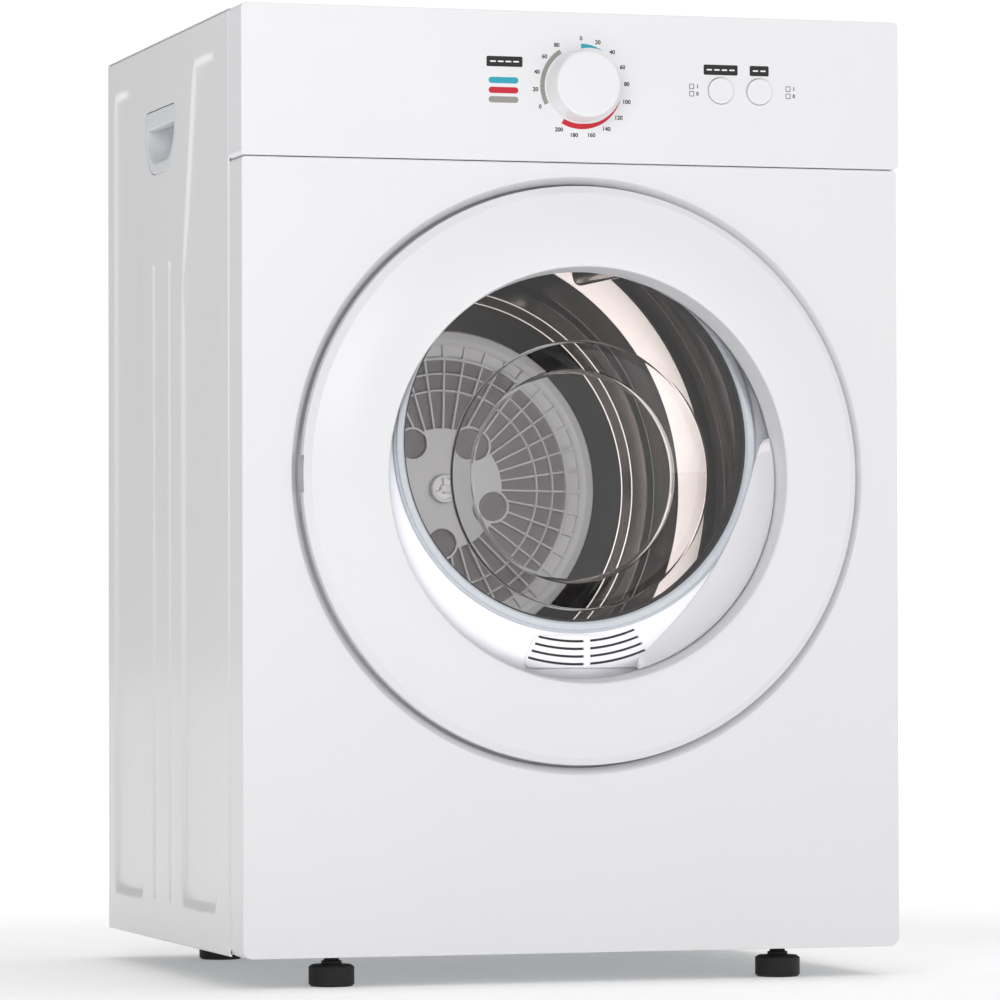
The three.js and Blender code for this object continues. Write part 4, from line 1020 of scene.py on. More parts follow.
def door_ring(sizes):
    """The domed ring: a quarter-ellipse swell from the bevel up to the window's edge."""
    proud = CAD_LOW.y - FACE
    bevel = RING_RADIUS - sizes.ring_bevel
    mouth = sizes.window
    swell = np.linspace(0, 1, 16)
    radius = bevel - (bevel - mouth - 3 * MM) * swell
    depth = BEVEL_TOP + (proud - BEVEL_TOP) * np.sin(swell * math.pi / 2) ** 1.1
    rim = [(RING_RADIUS - 1.7 * MM, 8 * MM), (RING_RADIUS, 5 * MM), (RING_RADIUS, -5.2 * MM),
           (RING_RADIUS - 0.8 * MM, -6.2 * MM), (bevel + 0.6 * MM, -11.2 * MM)]
    edge = [(mouth + 1.2 * MM, proud + 0.3 * MM), (mouth + 0.3 * MM, proud + 1.2 * MM),
            (mouth - 0.2 * MM, proud + 2.6 * MM), (mouth - 3 * MM, 2 * MM)]
    back = [(mouth - 0.5 * MM, 2 * MM), (mouth + 2.6 * MM, proud + 4 * MM),
            *zip(radius[::-3] - 0.5 * MM, depth[::-3] + 2.5 * MM),
            (RING_RADIUS - 2.5 * MM, -3.6 * MM), (RING_RADIUS - 2.5 * MM, 8 * MM)]
    profile = np.array([*rim, *zip(radius, depth), *edge, *back]) + (0, FACE)
    piece("door_ring", turned(profile, 240), FINISHES["ring"], "door",
          ["door_outer_ring"], holes=[hinge_relief()], crease=24)


def door_window(sizes):
    """The clear window: a flat rim and a deep round dish, drawn as one closed section."""
    low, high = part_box("door_glass")
    rim = radius_of("door_glass")
    front, thick = low.y, 3 * MM
    mouth, floor = sizes.dish_mouth, sizes.dish_floor
    deep = high.y - thick
    outside = rounded([(0, deep + 0.4 * MM, 0), (floor, deep, 5 * MM), (mouth, front, 3.5 * MM),
                       (rim, front, 0)], closed=False, steps=10)
    inside = rounded([(rim, front + thick, 0), (mouth + 1 * MM, front + thick, 2 * MM),
                      (floor + 1.6 * MM, deep + thick, 7 * MM), (0, deep + thick, 0)],
                     closed=False, steps=10)
    glass = lathe(np.vstack([outside, inside]), AXIS.x, AXIS.z, 240)
    piece("window", glass, FINISHES["window"], "door", ["door_glass"], crease=40)


def door_pull(sizes):
    """The clear finger pull: a crescent lip whose section swells and dies away round the window."""
    t = np.linspace(0, 1, 121)
    angle = np.radians(11 - 84 * t)[:, None]
    swell = (np.sin(math.pi * t) ** 0.55)[:, None]
    outer = sizes.window - 3.6 * MM
    width = 3 * MM + 28 * MM * swell
    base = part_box("door_glass")[0].y - 0.4 * MM
    height = 2.5 * MM + 9.5 * MM * swell
    section = rounded([(0.0, 0.0, 0), (0.0, 1.0, 0.12), (0.2, 0.85, 0.1), (1.0, 0.16, 0.08),
                       (1.0, 0.0, 0)], steps=4)
    inward, rise = section[:, 0], section[:, 1]
    radius = outer - width * inward
    points = np.stack([AXIS.x + radius * np.cos(angle), base - height * rise,
                       AXIS.z + radius * np.sin(angle)], axis=-1)
    piece("window_pull", carried(list(points)), FINISHES["pull"], "door",
          ["door_pull"], crease=40)


# ---- Mouth ----------------------------------------------------------------------------------


def eccentric(radius_in, radius_out, y, rows, steps=200):
    """Rings at depth y that run from the gasket's circle out to the door's circle."""
    inner = upright(circle(radius_in, steps, GASKET.x, GASKET.z), y)
    outer = upright(circle(radius_out, steps, AXIS.x, AXIS.z), y)
    return [inner + (outer - inner) * t for t in np.linspace(0, 1, rows)]


def inlet_outline():
    """The air inlet's outline: narrower at the top than at the bottom, with round corners."""
    low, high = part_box("inlet_grille")
    return rounded([(low.x + 1 * MM, low.z + 2 * MM, 6 * MM),
                    (high.x - 1 * MM, low.z + 2 * MM, 6 * MM),
                    (high.x - 13 * MM, high.z, 5 * MM), (low.x + 13 * MM, high.z, 5 * MM)], steps=10)


def collar():
    """The fixed collar behind the door, slotted for the air inlet, and the neck behind it."""
    low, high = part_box("front_collar")
    front, back = low.y, low.y + 2.5 * MM
    rim = radius_of("front_collar")
    hole = radius_of("mouth_gasket") - 3 * MM
    rings = eccentric(hole, rim, front, 6)
    rings.append(upright(circle(rim, 200, AXIS.x, AXIS.z), back))
    rings += eccentric(hole, rim, back, 2)[::-1]
    ring = grid(np.stack(rings), close_rows=True, close_columns=True)
    piece("collar", ring, FINISHES["collar"], "cabinet", ["front_collar"],
          holes=inlet_slots(front - 5 * MM, front + 5 * MM))
    start = front + 2.6 * MM
    neck = lathe([(NECK_RADIUS, start), (NECK_RADIUS, high.y), (NECK_RADIUS - NECK_WALL, high.y),
                  (NECK_RADIUS - NECK_WALL, start), (NECK_RADIUS, start)], AXIS.x, AXIS.z)
    piece("collar_neck", neck, FINISHES["collar"], "cabinet")


def round_seal(name, corners, finish, stands_for=()):
    """A ring of rubber about the gasket's axis; its section is closed over its back."""
    section = rounded(corners, closed=False, steps=5)
    ring = lathe(np.vstack([section, section[:1]]), GASKET.x, GASKET.z, 200)
    piece(name, ring, FINISHES[finish], "cabinet", stands_for)


def gasket():
    """The grey gasket round the mouth and the dark lip inside it."""
    low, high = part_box("mouth_gasket")
    rim = radius_of("mouth_gasket")
    lip = rim - 10 * MM
    round_seal("gasket", [
        (rim, high.y, 0), (rim, low.y + 2.5 * MM, 1.5 * MM),
        (rim - 2.4 * MM, low.y + 1.6 * MM, 0.6 * MM), (rim - 3 * MM, low.y, 1.2 * MM),
        (lip + 2 * MM, low.y, 2.2 * MM), (lip, low.y + 3.4 * MM, 1 * MM), (lip, high.y, 0),
    ], "gasket", ["mouth_gasket"])
    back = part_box("front_collar")[1].y
    round_seal("gasket_lip", [
        (lip + 0.4 * MM, low.y + 4 * MM, 0), (lip - 1.6 * MM, low.y + 5.5 * MM, 1 * MM),
        (lip - 2.4 * MM, high.y + 6 * MM, 3 * MM), (lip + 2 * MM, back, 0), (lip + 5 * MM, back, 0),
        (lip + 2 * MM, high.y + 0.4 * MM, 0), (lip + 0.4 * MM, high.y + 0.4 * MM, 0),
    ], "dark_seal")


def below_axis(radius, t):
    """Points of a circle round the door's axis, at angles t from straight down."""
    return np.stack([AXIS.x + radius * np.sin(t), AXIS.z - radius * np.cos(t)], axis=-1)


def inlet_slots(front, back):
    """Two columns of thin curved slots, concentric with the window."""
    low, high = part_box("inlet_grille")
    middle = (low.x + high.x) / 2
    half = 1.1 * MM
    slots = []
    for row in range(4):
        radius = AXIS.z - (low.z + 5.5 * MM + 6.7 * MM * row)
        reach = (high.x - low.x) / 2 - 7 * MM - 3.2 * MM * row
        for side in (-1, 1):
            ends = [middle + side * 2.8 * MM, middle + side * reach]
            t = np.linspace(*[math.asin((end - AXIS.x) / radius) for end in ends], 15)
            outline = np.vstack([below_axis(radius + half, t), below_axis(radius - half, t)[::-1]])
            slots.append(carried([upright(outline, front), upright(outline, back)]))
    return slots


def inlet():
    """The air inlet in the collar: a raised, slotted cover with a fine outline."""
    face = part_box("inlet_grille")[0].y
    cover = plate(inlet_outline(), face - 1.6 * MM, face - 0.1 * MM, 0.8 * MM)
    piece("inlet_cover", cover, FINISHES["grille"], "cabinet", ["inlet_grille"],
          holes=inlet_slots(face - 5 * MM, face + 3 * MM))


# ---- Drum -----------------------------------------------------------------------------------


def drum_profile(sizes):
    """The drum's outside as (radius, depth): front lip, rolled beads and the rear turn-in."""
    low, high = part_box("drum_shell")
    radius = radius_of("drum_shell")
    front = low.y
    beads = []
    for place in DRUM_BEADS:
        depth = front + place
        beads += [(radius, depth, 3 * MM), (radius - sizes.bead, depth + 4 * MM, 3 * MM),
                  (radius - sizes.bead, depth + 28 * MM, 3 * MM), (radius, depth + 32 * MM, 3 * MM)]
    return [(DRUM_LIP, front, 0), (DRUM_LIP, front + 6 * MM, 2 * MM),
            (DRUM_SHOULDER, front + 13 * MM, 12 * MM), (radius, front + 26 * MM, 10 * MM), *beads,
            (radius, high.y - 8 * MM, 5 * MM), (radius - 5 * MM, high.y, 0)]


def drum_skin(sizes):
    """The polished drum's wall, as thin as its sheet."""
    outside = rounded(drum_profile(sizes), closed=False, steps=4)
    section = np.vstack([outside, outside[::-1] - (MM, 0)])
    piece("drum_skin", turned(section, 200), FINISHES["shell"], "drum",
          ["drum_shell"], crease=50)


def drum_rear():
    """The drum's back: a dished ring with one groove, open behind the plate."""
    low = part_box("drum_back")[0].y
    disc = low + 10.5 * MM
    front = rounded([(radius_of("drum_back") - 1 * MM, low + 0.6 * MM, 0),
                     (236 * MM, disc - 1 * MM, 6 * MM), (214 * MM, disc - 1 * MM, 4 * MM),
                     (206 * MM, disc - 7 * MM, 4 * MM), (190 * MM, disc - 8 * MM, 4 * MM),
                     (182 * MM, disc - 1 * MM, 4 * MM), (160 * MM, disc, 0), (128 * MM, disc, 0)],
                    closed=False, steps=5)
    section = np.vstack([front, front[::-1] + (0, MM)])
    piece("drum_rear", turned(section, 200), FINISHES["back"], "drum",
          ["drum_back"], crease=40)


def lifters(sizes):
    """Three hollow vanes: a bell curve across, lowered smoothly to the wall at each end."""
    low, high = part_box("drum_lifter_1")
    foot = radius_of("drum_shell") - 6 * MM
    across = np.linspace(-1, 1, 33)
    along = np.linspace(0, 1, 61)[:, None]
    rise = ease(along / 0.1) * ease((1 - along) / 0.1)
    width = 31 * MM * (0.82 + 0.18 * rise)
    tangent = width * across
    height = sizes.lifter * rise * (0.5 + 0.5 * np.cos(math.pi * across)) ** 0.75 + 0.4 * MM
    radial = np.sqrt(foot ** 2 - tangent ** 2) - height
    depth = low.y + (high.y - low.y) * along + 0 * across
    outer = np.stack([tangent, depth, radial], axis=-1)
    vane = shell(outer, outer + (0, 0, 1.5 * MM))
    for number in range(3):
        turn = about_axis(TURN * number / 3 + math.pi / 6)
        piece(f"lifter_{number + 1}", vane.changed(turn), FINISHES["lifter"], "drum",
              [f"drum_lifter_{number + 1}"], crease=40)


def from_petal(angle, sizes):
    """An angle measured from the middle of the nearest petal."""
    spacing = TURN / sizes.petals
    return (angle - sizes.petal_start + spacing / 2) % spacing - spacing / 2


def hub_edge(angle, sizes):
    """The hub's radius on a ray: its own, or where a petal's round bite cuts the ray first."""
    local = from_petal(angle, sizes)
    across = sizes.petal_reach * np.sin(local)
    inside = np.sqrt(np.maximum(sizes.petal_radius ** 2 - across ** 2, 0))
    bite = sizes.petal_reach * np.cos(local) - inside
    return np.where(np.abs(across) < sizes.petal_radius, np.minimum(sizes.hub, bite), sizes.hub)


def rib_start(angle, sizes):
    """The radius where a rib begins: on the hub, or on the far side of a petal."""
    local = from_petal(angle, sizes)
    across = sizes.petal_reach * math.sin(local)
    rim = sizes.petal_radius + 1 * MM
    if abs(across) > rim:
        return sizes.hub - 1 * MM
    return sizes.petal_reach * math.cos(local) + math.sqrt(rim ** 2 - across ** 2)


def bar(r0, r1, width, front, back, angle):
    """A straight rib between two radii, with its front edges slightly rounded."""
    half = width / 2
    outline = np.array([(r0, -half), (r1, -half), (r1, half), (r0, half)])
    return plate(outline, front, back, 0.35 * MM, 2).changed(about_axis(-angle))


def hoop(inner, outer, front, back, edge=0.4 * MM):
    """A flat ring whose front edges are eased."""
    profile = [(inner, back), (inner, front + edge), (inner + edge, front), (outer - edge, front),
               (outer, front + edge), (outer, back), (inner, back)]
    return lathe(profile, AXIS.x, AXIS.z, 144)


def plate_rim(front, back):
    """The plate's raised outer rim."""
    rim = radius_of("drum_grille")
    section = rounded([(WINDOW_OUTER - MM, back, 0), (WINDOW_OUTER - MM, front + 3.4 * MM, 0.8 * MM),
                       (WINDOW_OUTER + 1.5 * MM, front + 1.6 * MM, 1 * MM),
                       (WINDOW_OUTER + 5 * MM, front, 2 * MM),
                       (rim - 1.5 * MM, front + 1.2 * MM, 2 * MM), (rim, back, 0)],
                      closed=False, steps=4)
    return lathe(np.vstack([section, section[:1]]), AXIS.x, AXIS.z, 180)


def plate_hoops(front, back):
    """The hoops that tie the ribs, and the flat floor of the rim's windows."""
    hoops = [hoop(WINDOW_INNER - MM, WINDOW_INNER + 1.6 * MM, front + 1.4 * MM, back)]
    for radius in HOOP_RADII:
        hoops.append(hoop(radius, radius + 1.8 * MM, front + 2.2 * MM, back))
    hoops.append(hoop(WINDOW_INNER + 2 * MM, WINDOW_OUTER, back - 1.2 * MM, back))
    return hoops


def plate_ribs(front, back, sizes):
    """The ribs: a thin one from the hub outwards, then a broad one between two rim windows."""
    ribs = []
    for number in range(sizes.ribs):
        angle = sizes.petal_start + TURN * number / sizes.ribs
        start = rib_start(angle, sizes)
        ribs.append(bar(start, WINDOW_INNER, 1.9 * MM, front + 2.2 * MM, back, angle))
        ribs.append(bar(WINDOW_INNER, WINDOW_OUTER, 3.6 * MM, front + 1.8 * MM, back, angle))
    return ribs


def plate_hub(front, back, sizes):
    """The solid middle, bitten by the petals."""
    angle = TURN * np.arange(480) / 480
    edge = hub_edge(angle, sizes)
    outline = np.stack([AXIS.x + edge * np.cos(angle), AXIS.z + edge * np.sin(angle)], axis=-1)
    return plate(outline, front + 1.2 * MM, back, 0.5 * MM)


def petal_wall(angle, front, back, sizes):
    """The raised wall round the outer half of a petal."""
    t = np.linspace(-1.55, 1.55, 40) + angle
    x = AXIS.x + sizes.petal_reach * math.cos(angle)
    z = AXIS.z + sizes.petal_reach * math.sin(angle)
    inner, outer = sizes.petal_radius, sizes.petal_radius + 2 * MM
    arcs = [upright(np.stack([x + radius * np.cos(t), z + radius * np.sin(t)], axis=-1), y)
            for radius, y in ((inner, back), (inner, front + 1.4 * MM),
                              (outer, front + 1.4 * MM), (outer, back))]
    return grid(np.stack(arcs), close_rows=True)


def drum_plate(sizes):
    """The moulded plate at the back of the drum: rim, windows, ribs, hoops and a petalled hub."""
    low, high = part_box("drum_grille")
    front, back = low.y, high.y - 0.3 * MM
    parts = [plate_rim(front, back), *plate_hoops(front, back), *plate_ribs(front, back, sizes),
             plate_hub(front, back, sizes)]
    for number in range(sizes.petals):
        angle = sizes.petal_start + TURN * number / sizes.petals
        parts.append(petal_wall(angle, front, back, sizes))
    piece("drum_plate", together(parts), FINISHES["grey"], "drum", ["drum_grille"])


def filter_knob():
    """The small knob that holds the filter: a round rim, three spokes, a hub and a stem."""
    low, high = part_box("filter_knob")
    rim = radius_of("filter_knob")
    front, floor = low.y, low.y + 9 * MM
    base = lathe([(0, floor - 2 * MM), (rim - 2 * MM, floor - 2 * MM), (rim - 2 * MM, floor),
                  (0, floor)], AXIS.x, AXIS.z, 60)
    boss = rounded([(0, front + 0.5 * MM, 0), (4.5 * MM, front + 0.5 * MM, 1.5 * MM),
                    (4.5 * MM, high.y, 0), (0, high.y, 0)], closed=False, steps=4)
    parts = [base, lathe(boss, AXIS.x, AXIS.z, 40),
             hoop(rim - 3.4 * MM, rim, front, floor, 0.9 * MM)]
    for number in range(3):
        angle = TURN * (number / 3 + 0.25)
        parts.append(bar(3 * MM, rim - 2 * MM, 3.4 * MM, front + 1 * MM, floor - 1 * MM, angle))
    piece("filter_grip", together(parts), FINISHES["knob"], "filter_knob",
          ["filter_knob"])


# ---- Carried-over nodes ---------------------------------------------------------------------


CARRIED = {
    "enamel": ("top_cover", "rear_panel", "rear_cover"),
    "frame": ("door_inner_frame",),
    "white": ("door_latch_hook", "exhaust_collar"),
    "seal": ("door_seal",),
    "black": ("timer_unit", "switch_board", "latch_receiver", "air_duct", "fan_housing",
              "fan_impeller", "fan_drive_pulley", "idler_pulley"),
    "rubber": ("drum_belt", "fan_belt", "cord_gland"),
    "hinge": ("hinge_bracket", "hinge_leaf"),
    "steel": ("motor_body", "motor_shaft", "idler_arm"),
    "zinc": ("base_pan", "rear_bulkhead", "rear_bearing", "heater_box", "motor_cradle",
             "idler_bracket"),
    "aluminium": ("drum_spider_shaft", "heater_element"),
    "felt": ("front_felt", "rear_felt"),
    "net": ("lint_filter",),
}


def carried_over():
    """Gives every CAD node that still shows its detailed finish."""
    for finish, nodes in CARRIED.items():
        for node in nodes:
            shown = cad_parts[node]
            shown.data.materials.clear()
            shown.data.materials.append(FINISHES[finish])


# ---- Stage ----------------------------------------------------------------------------------


def studio_panel(name, place, target, width, height, power):
    """A large soft light at place that faces target."""
    light = bpy.data.lights.new(name, "AREA")
    light.shape = "RECTANGLE"
    light.size = width
    light.size_y = height
    light.energy = power
    lamp = bpy.data.objects.new(name, light)
    lamp.location = place
    lamp.rotation_euler = (Vector(target) - Vector(place)).to_track_quat("-Z", "Y").to_euler()
    bpy.context.scene.collection.objects.link(lamp)
    return lamp


FLOOR_GLOW = 0.24
FLOOR_FADE = 0.4
LEAN = (0.5, -0.15, -0.3)
BACKDROP = 1.05
EYE_AZIMUTH = 16.622
EYE_PITCH = 1.43
EYE_ROLL = -0.166
EYE_PLACE = (-1.39365, -4.70254, 0.30715)


def pale_floor():
    """A wide, flat, pale floor under the feet."""
    reach = 30.0
    corners = ((-1, -1, 0), (1, -1, 0), (1, 1, 0), (-1, 1, 0))
    points = reach * np.array(corners)
    floor = bpy.data.objects.new("floor", make_mesh("floor", Shape(points, [[0, 1, 2, 3]])))
    bpy.context.scene.collection.objects.link(floor)
    finish = Finish("floor_paper", Roughness=0.9, Specular_IOR_Level=0.1, Emission_Strength=1.0)
    finish.colour(finish.range(finish.noise(3.0), 0.9, 0.93))
    x, y, _ = finish.parts(finish.place())
    away = ((x * x + y * y).math("SQRT") - 0.75) / 1.1
    glow = away.clipped() * FLOOR_FADE + FLOOR_GLOW
    finish.feed(finish.shader.inputs["Emission Color"], glow)
    floor.data.materials.append(finish.material)


def surroundings(strength, tilt, backdrop):
    """A pale studio whose light leans the way of tilt; the backdrop behind is plain white."""
    world = bpy.data.worlds.new("studio")
    bpy.context.scene.world = world
    studio = NodeSheet(world)
    way = studio.node("ShaderNodeTexCoord", result="Generated")
    lean = studio.node("ShaderNodeVectorMath", {"operation": "DOT_PRODUCT"},
                       {0: way, 1: tilt}, "Value")
    level = (lean + 1).clipped_below() * strength
    room = studio.node("ShaderNodeBackground", inputs={"Strength": level})
    paper = studio.node("ShaderNodeBackground", inputs={"Strength": backdrop})
    for light in (room, paper):
        light.socket.node.inputs["Color"].default_value = (1.0, 1.0, 1.0, 1.0)
    seen = studio.node("ShaderNodeLightPath", result="Is Camera Ray")
    both = studio.node("ShaderNodeMixShader", inputs={0: seen, 1: room, 2: paper})
    studio.node("ShaderNodeOutputWorld", inputs={"Surface": both}, result=None)


def camera(sizes):
    """The camera low at the machine's left, far enough away for a long lens."""
    azimuth, pitch, roll = math.radians(EYE_AZIMUTH), math.radians(EYE_PITCH), math.radians(EYE_ROLL)
    ahead = Vector((math.sin(azimuth) * math.cos(pitch), math.cos(azimuth) * math.cos(pitch),
                    math.sin(pitch)))
    level = Vector((math.cos(azimuth), -math.sin(azimuth), 0.0))
    over = level.cross(ahead)
    right = math.cos(roll) * level + math.sin(roll) * over
    up = right.cross(ahead)
    lens = bpy.data.cameras.new("camera")
    lens.lens = sizes.lens
    lens.sensor_width = 36.0
    lens.clip_end = 100.0
    eye = bpy.data.objects.new("camera", lens)
    axes = Matrix((right, up, -ahead)).transposed().to_4x4()
    eye.matrix_world = Matrix.Translation(EYE_PLACE) @ axes
    bpy.context.scene.collection.objects.link(eye)
    bpy.context.scene.camera = eye


def hidden_disc(name, front, width, power):
    """A round light on the drum's axis that shines to its back and is never seen itself."""
    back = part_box("drum_shell")[1].y
    lamp = studio_panel(name, (AXIS.x, front, AXIS.z), (AXIS.x, back, AXIS.z), width, width, power)
    lamp.data.shape = "DISK"
    lamp.visible_camera = False
    return lamp


def stage(sizes):
    """Floor, light, backdrop and camera."""
    pale_floor()
    surroundings(sizes.room_light, LEAN, BACKDROP)
    studio_panel("key", (-1.5, -2.4, 1.5), (0, -0.26, 0.5), 1.2, 1.2, sizes.key_light)
    studio_panel("top", (0.2, 0.3, 3.0), (0, 0, 0.5), 2.0, 2.0, sizes.top_light)
    drum_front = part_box("drum_shell")[0].y
    hidden_disc("drum_light", drum_front + 14 * MM, 0.28, sizes.drum_light)
    collar_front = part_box("front_collar")[0].y
    outer = hidden_disc("window_light", collar_front - 6 * MM, 0.34, sizes.window_light)
    outer.visible_glossy = False
    bpy.context.scene.view_settings.view_transform = "Standard"
    camera(sizes)


# ---- Add-on ---------------------------------------------------------------------------------


def length_property(name, description, default):
    """A length in metres, which the sidebar shows in the scene's own unit."""
    return FloatProperty(name=name, description=description, default=default, unit="LENGTH")


def power_property(name, description, default):
    """A light's power in watts."""
    return FloatProperty(name=name, description=description, default=default, unit="POWER")


def colour_property(name, description, default):
    """A colour."""
    return FloatVectorProperty(
        name=name, description=description, default=default, subtype="COLOR", size=3)


class DryerSizes(bpy.types.PropertyGroup):
    """Sizes that the solid model leaves open."""

    fold: length_property("Front fold", "Radius of the front sheet's folded edge", 1.6 * MM)
    recess: length_property("Recess", "Depth of the round recess for the door", 15 * MM)
    emboss: length_property("Side emboss", "Depth of the side panels' sunk fields", 3.2 * MM)
    emboss_wall: length_property("Emboss wall", "Width of the sloped wall round a field", 8 * MM)
    flute: length_property("Flute", "Depth of the two narrow flutes", 2.2 * MM)
    fascia_lip: length_property(
        "Fascia lip", "How far the control panel narrows the seam", 0.9 * MM)
    fascia_edge: length_property("Fascia edge", "Radius of the control panel's edge", 1.2 * MM)
    button_gap: length_property("Button gap", "Gap round each push button", 0.5 * MM)
    ink: length_property("Ink", "Thickness of the printed marks", 0.12 * MM)
    number: length_property("Number", "Height of the dial's numbers", 5.0 * MM)
    number_radius: length_property(
        "Number radius", "Distance of the numbers from the knob", 42 * MM)
    ring_bevel: length_property("Ring bevel", "Width of the door ring's outer bevel", 7 * MM)
    window: length_property("Window", "Radius of the opening in the door ring", 181 * MM)
    dish_mouth: length_property("Dish mouth", "Radius where the window's dish begins", 117 * MM)
    dish_floor: length_property("Dish floor", "Radius of the window dish's flat end", 92 * MM)
    hub: length_property("Hub radius", "Radius of the plate's solid middle", 0.058)
    petals: IntProperty(
        name="Petals", description="Number of round openings round the hub", default=5)
    petal_start: FloatProperty(
        name="First petal", description="Angle of the first opening", default=0.925, unit="ROTATION")
    petal_reach: length_property("Petal reach", "Distance of an opening from the axis", 0.052)
    petal_radius: length_property("Petal radius", "Radius of an opening", 0.014)
    ribs: IntProperty(name="Ribs", description="Number of ribs in the drum's plate", default=40)
    bead: length_property("Drum bead", "Depth of the beads rolled into the drum", 4 * MM)
    lifter: length_property("Lifter", "Height of the drum's lifters", 42 * MM)
    lens: FloatProperty(
        name="Lens", description="Focal length of the camera in millimetres", default=191.63)
    room_light: FloatProperty(
        name="Room light", description="Strength of the even studio light", default=0.63)
    key_light: power_property("Key light", "Power of the main soft light", 20.0)
    top_light: power_property("Top light", "Power of the overhead soft light", 20.0)
    window_light: power_property("Window light", "Power of the light behind the window", 0.25)
    drum_light: power_property("Drum light", "Power of the light inside the drum", 0.5)


class DryerColours(bpy.types.PropertyGroup):
    """Colours that a user may change."""

    panel: colour_property("Panels", "Enamel on the cabinet", (0.80, 0.80, 0.815))
    plastic: colour_property("White plastic", "Fascia, knob, buttons and door", (0.80, 0.80, 0.82))
    drum: colour_property("Drum", "Polished steel of the drum", (0.27, 0.24, 0.225))
    drum_plate: colour_property("Drum plate", "Moulded plate behind the drum", (0.74, 0.725, 0.72))
    cool: colour_property("Cool band", "Ink of the short band on the dial", (0.02, 0.35, 0.45))
    hot: colour_property("Hot band", "Ink of the long band on the dial", (0.55, 0.01, 0.03))
    air: colour_property("Air band", "Ink of the grey band on the dial", (0.30, 0.28, 0.26))


class DRYER_OT_stage(bpy.types.Operator):
    """Sets out the floor, the studio light and the camera"""

    bl_idname = "dryer.stage"
    bl_label = "Stage"

    def execute(self, context):
        stage(context.scene.dryer_sizes)
        return {"FINISHED"}


class DRYER_OT_finishes(bpy.types.Operator):
    """Makes the finishes and gives them to the solid parts that stay in view"""

    bl_idname = "dryer.finishes"
    bl_label = "Finishes"

    def execute(self, context):
        make_finishes(context.scene.dryer_colours)
        carried_over()
        return {"FINISHED"}


class DRYER_OT_front_sheet(bpy.types.Operator):
    """Builds the front sheet with its round recess"""

    bl_idname = "dryer.front_sheet"
    bl_label = "Front sheet"

    def execute(self, context):
        front_panel(context.scene.dryer_sizes)
        return {"FINISHED"}


class DRYER_OT_side_sheets(bpy.types.Operator):
    """Builds both side sheets with their hand holds"""

    bl_idname = "dryer.side_sheets"
    bl_label = "Side sheets"

    def execute(self, context):
        side_panels(context.scene.dryer_sizes)
        return {"FINISHED"}


class DRYER_OT_feet(bpy.types.Operator):
    """Builds the four levelling feet"""

    bl_idname = "dryer.feet"
    bl_label = "Feet"

    def execute(self, context):
        feet()
        return {"FINISHED"}


class DRYER_OT_fascia(bpy.types.Operator):
    """Builds the control panel"""

    bl_idname = "dryer.fascia"
    bl_label = "Fascia"

    def execute(self, context):
        fascia(context.scene.dryer_sizes)
        return {"FINISHED"}


class DRYER_OT_dial_print(bpy.types.Operator):
    """Builds the bands, numbers and keys printed round the dial"""

    bl_idname = "dryer.dial_print"
    bl_label = "Dial print"

    def execute(self, context):
        dial_bands(context.scene.dryer_sizes)
        dial_numbers(context.scene.dryer_sizes)
        dial_keys(context.scene.dryer_sizes)
        return {"FINISHED"}


class DRYER_OT_button_print(bpy.types.Operator):
    """Builds the headings and signs printed round the push buttons"""

    bl_idname = "dryer.button_print"
    bl_label = "Button print"

    def execute(self, context):
        button_headings(context.scene.dryer_sizes)
        button_signs(context.scene.dryer_sizes)
        return {"FINISHED"}


class DRYER_OT_timer_dial(bpy.types.Operator):
    """Builds the timer knob"""

    bl_idname = "dryer.timer_dial"
    bl_label = "Timer dial"

    def execute(self, context):
        timer_dial()
        return {"FINISHED"}


class DRYER_OT_push_buttons(bpy.types.Operator):
    """Builds the two push buttons"""

    bl_idname = "dryer.push_buttons"
    bl_label = "Push buttons"

    def execute(self, context):
        push_buttons()
        return {"FINISHED"}


class DRYER_OT_door_ring(bpy.types.Operator):
    """Builds the door's domed ring"""

    bl_idname = "dryer.door_ring"
    bl_label = "Door ring"

    def execute(self, context):
        door_ring(context.scene.dryer_sizes)
        return {"FINISHED"}


class DRYER_OT_window(bpy.types.Operator):
    """Builds the door's clear window"""

    bl_idname = "dryer.window"
    bl_label = "Window"

    def execute(self, context):
        door_window(context.scene.dryer_sizes)
        return {"FINISHED"}


class DRYER_OT_window_pull(bpy.types.Operator):
    """Builds the clear finger pull on the window"""

    bl_idname = "dryer.window_pull"
    bl_label = "Finger pull"

    def execute(self, context):
        door_pull(context.scene.dryer_sizes)
        return {"FINISHED"}


class DRYER_OT_collar(bpy.types.Operator):
    """Builds the collar behind the door and its neck"""

    bl_idname = "dryer.collar"
    bl_label = "Collar"

    def execute(self, context):
        collar()
        return {"FINISHED"}


class DRYER_OT_gasket(bpy.types.Operator):
    """Builds the gasket round the mouth and its dark lip"""

    bl_idname = "dryer.gasket"
    bl_label = "Gasket"

    def execute(self, context):
        gasket()
        return {"FINISHED"}


class DRYER_OT_inlet(bpy.types.Operator):
    """Builds the slotted cover of the air inlet"""

    bl_idname = "dryer.inlet"
    bl_label = "Air inlet"

    def execute(self, context):
        inlet()
        return {"FINISHED"}


class DRYER_OT_drum(bpy.types.Operator):
    """Builds the drum's wall and back"""

    bl_idname = "dryer.drum"
    bl_label = "Drum"

    def execute(self, context):
        drum_skin(context.scene.dryer_sizes)
        drum_rear()
        return {"FINISHED"}


class DRYER_OT_lifters(bpy.types.Operator):
    """Builds the drum's three lifters"""

    bl_idname = "dryer.lifters"
    bl_label = "Lifters"

    def execute(self, context):
        lifters(context.scene.dryer_sizes)
        return {"FINISHED"}


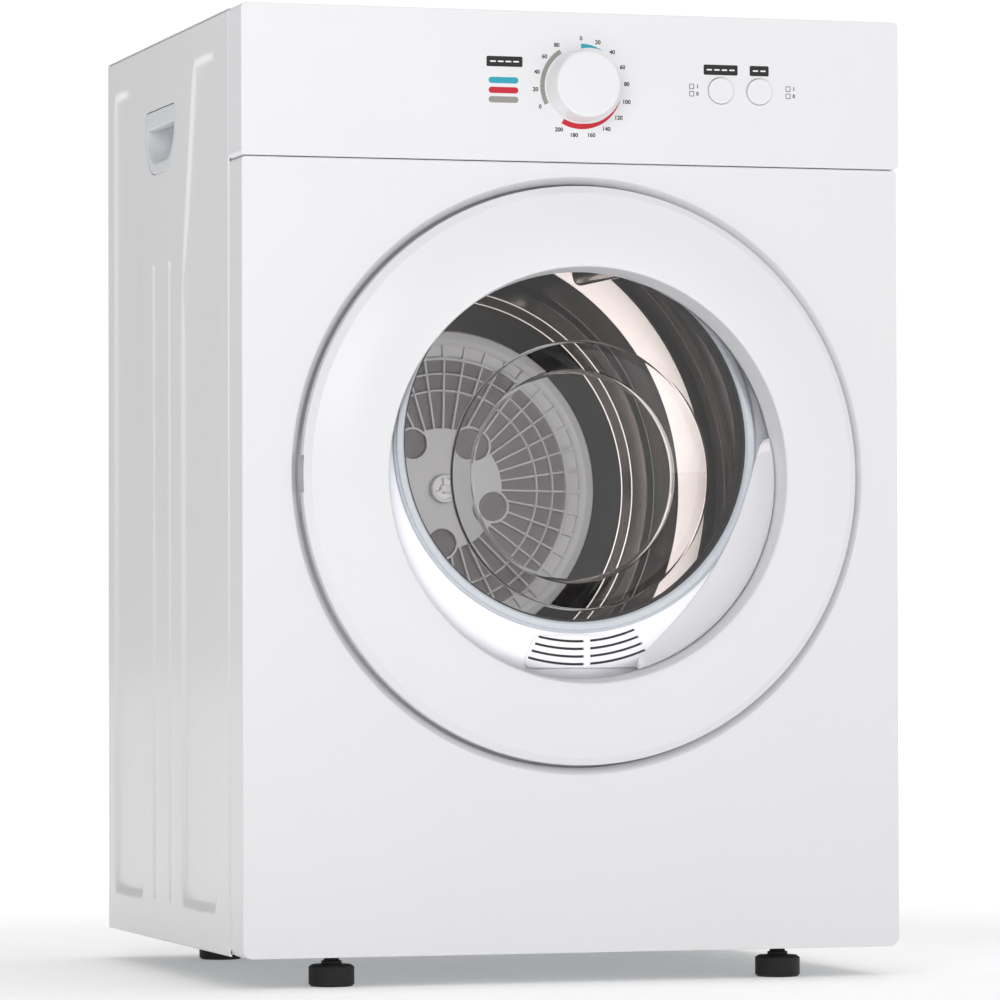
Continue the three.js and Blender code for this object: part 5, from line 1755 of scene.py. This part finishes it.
class DRYER_OT_drum_plate(bpy.types.Operator):
    """Builds the moulded plate at the back of the drum"""

    bl_idname = "dryer.drum_plate"
    bl_label = "Drum plate"

    def execute(self, context):
        drum_plate(context.scene.dryer_sizes)
        return {"FINISHED"}


class DRYER_OT_filter_knob(bpy.types.Operator):
    """Builds the small knob that holds the filter"""

    bl_idname = "dryer.filter_knob"
    bl_label = "Filter knob"

    def execute(self, context):
        filter_knob()
        return {"FINISHED"}


STEPS = (
    DRYER_OT_stage, DRYER_OT_finishes, DRYER_OT_front_sheet, DRYER_OT_side_sheets,
    DRYER_OT_feet, DRYER_OT_fascia, DRYER_OT_dial_print, DRYER_OT_button_print,
    DRYER_OT_timer_dial, DRYER_OT_push_buttons, DRYER_OT_door_ring, DRYER_OT_window,
    DRYER_OT_window_pull, DRYER_OT_collar, DRYER_OT_gasket, DRYER_OT_inlet, DRYER_OT_drum,
    DRYER_OT_lifters, DRYER_OT_drum_plate, DRYER_OT_filter_knob,
)


class DRYER_PT_panel(bpy.types.Panel):
    """Lists the build steps and the sizes and colours they use"""

    bl_label = "Clothes Dryer"
    bl_space_type = "VIEW_3D"
    bl_region_type = "UI"
    bl_category = "Dryer"

    def draw(self, context):
        for step in STEPS:
            self.layout.operator(step.bl_idname)
        for group in (context.scene.dryer_sizes, context.scene.dryer_colours):
            column = self.layout.column()
            for name in group.__annotations__:
                column.prop(group, name)


CLASSES = (DryerSizes, DryerColours, *STEPS, DRYER_PT_panel)


def register():
    for cls in CLASSES:
        bpy.utils.register_class(cls)
    bpy.types.Scene.dryer_sizes = PointerProperty(type=DryerSizes)
    bpy.types.Scene.dryer_colours = PointerProperty(type=DryerColours)


def unregister():
    del bpy.types.Scene.dryer_colours
    del bpy.types.Scene.dryer_sizes
    for cls in reversed(CLASSES):
        bpy.utils.unregister_class(cls)


def main():
    register()
    for step in STEPS:
        group, name = step.bl_idname.split(".")
        getattr(getattr(bpy.ops, group), name)()


if __name__ == "__main__":
    main()
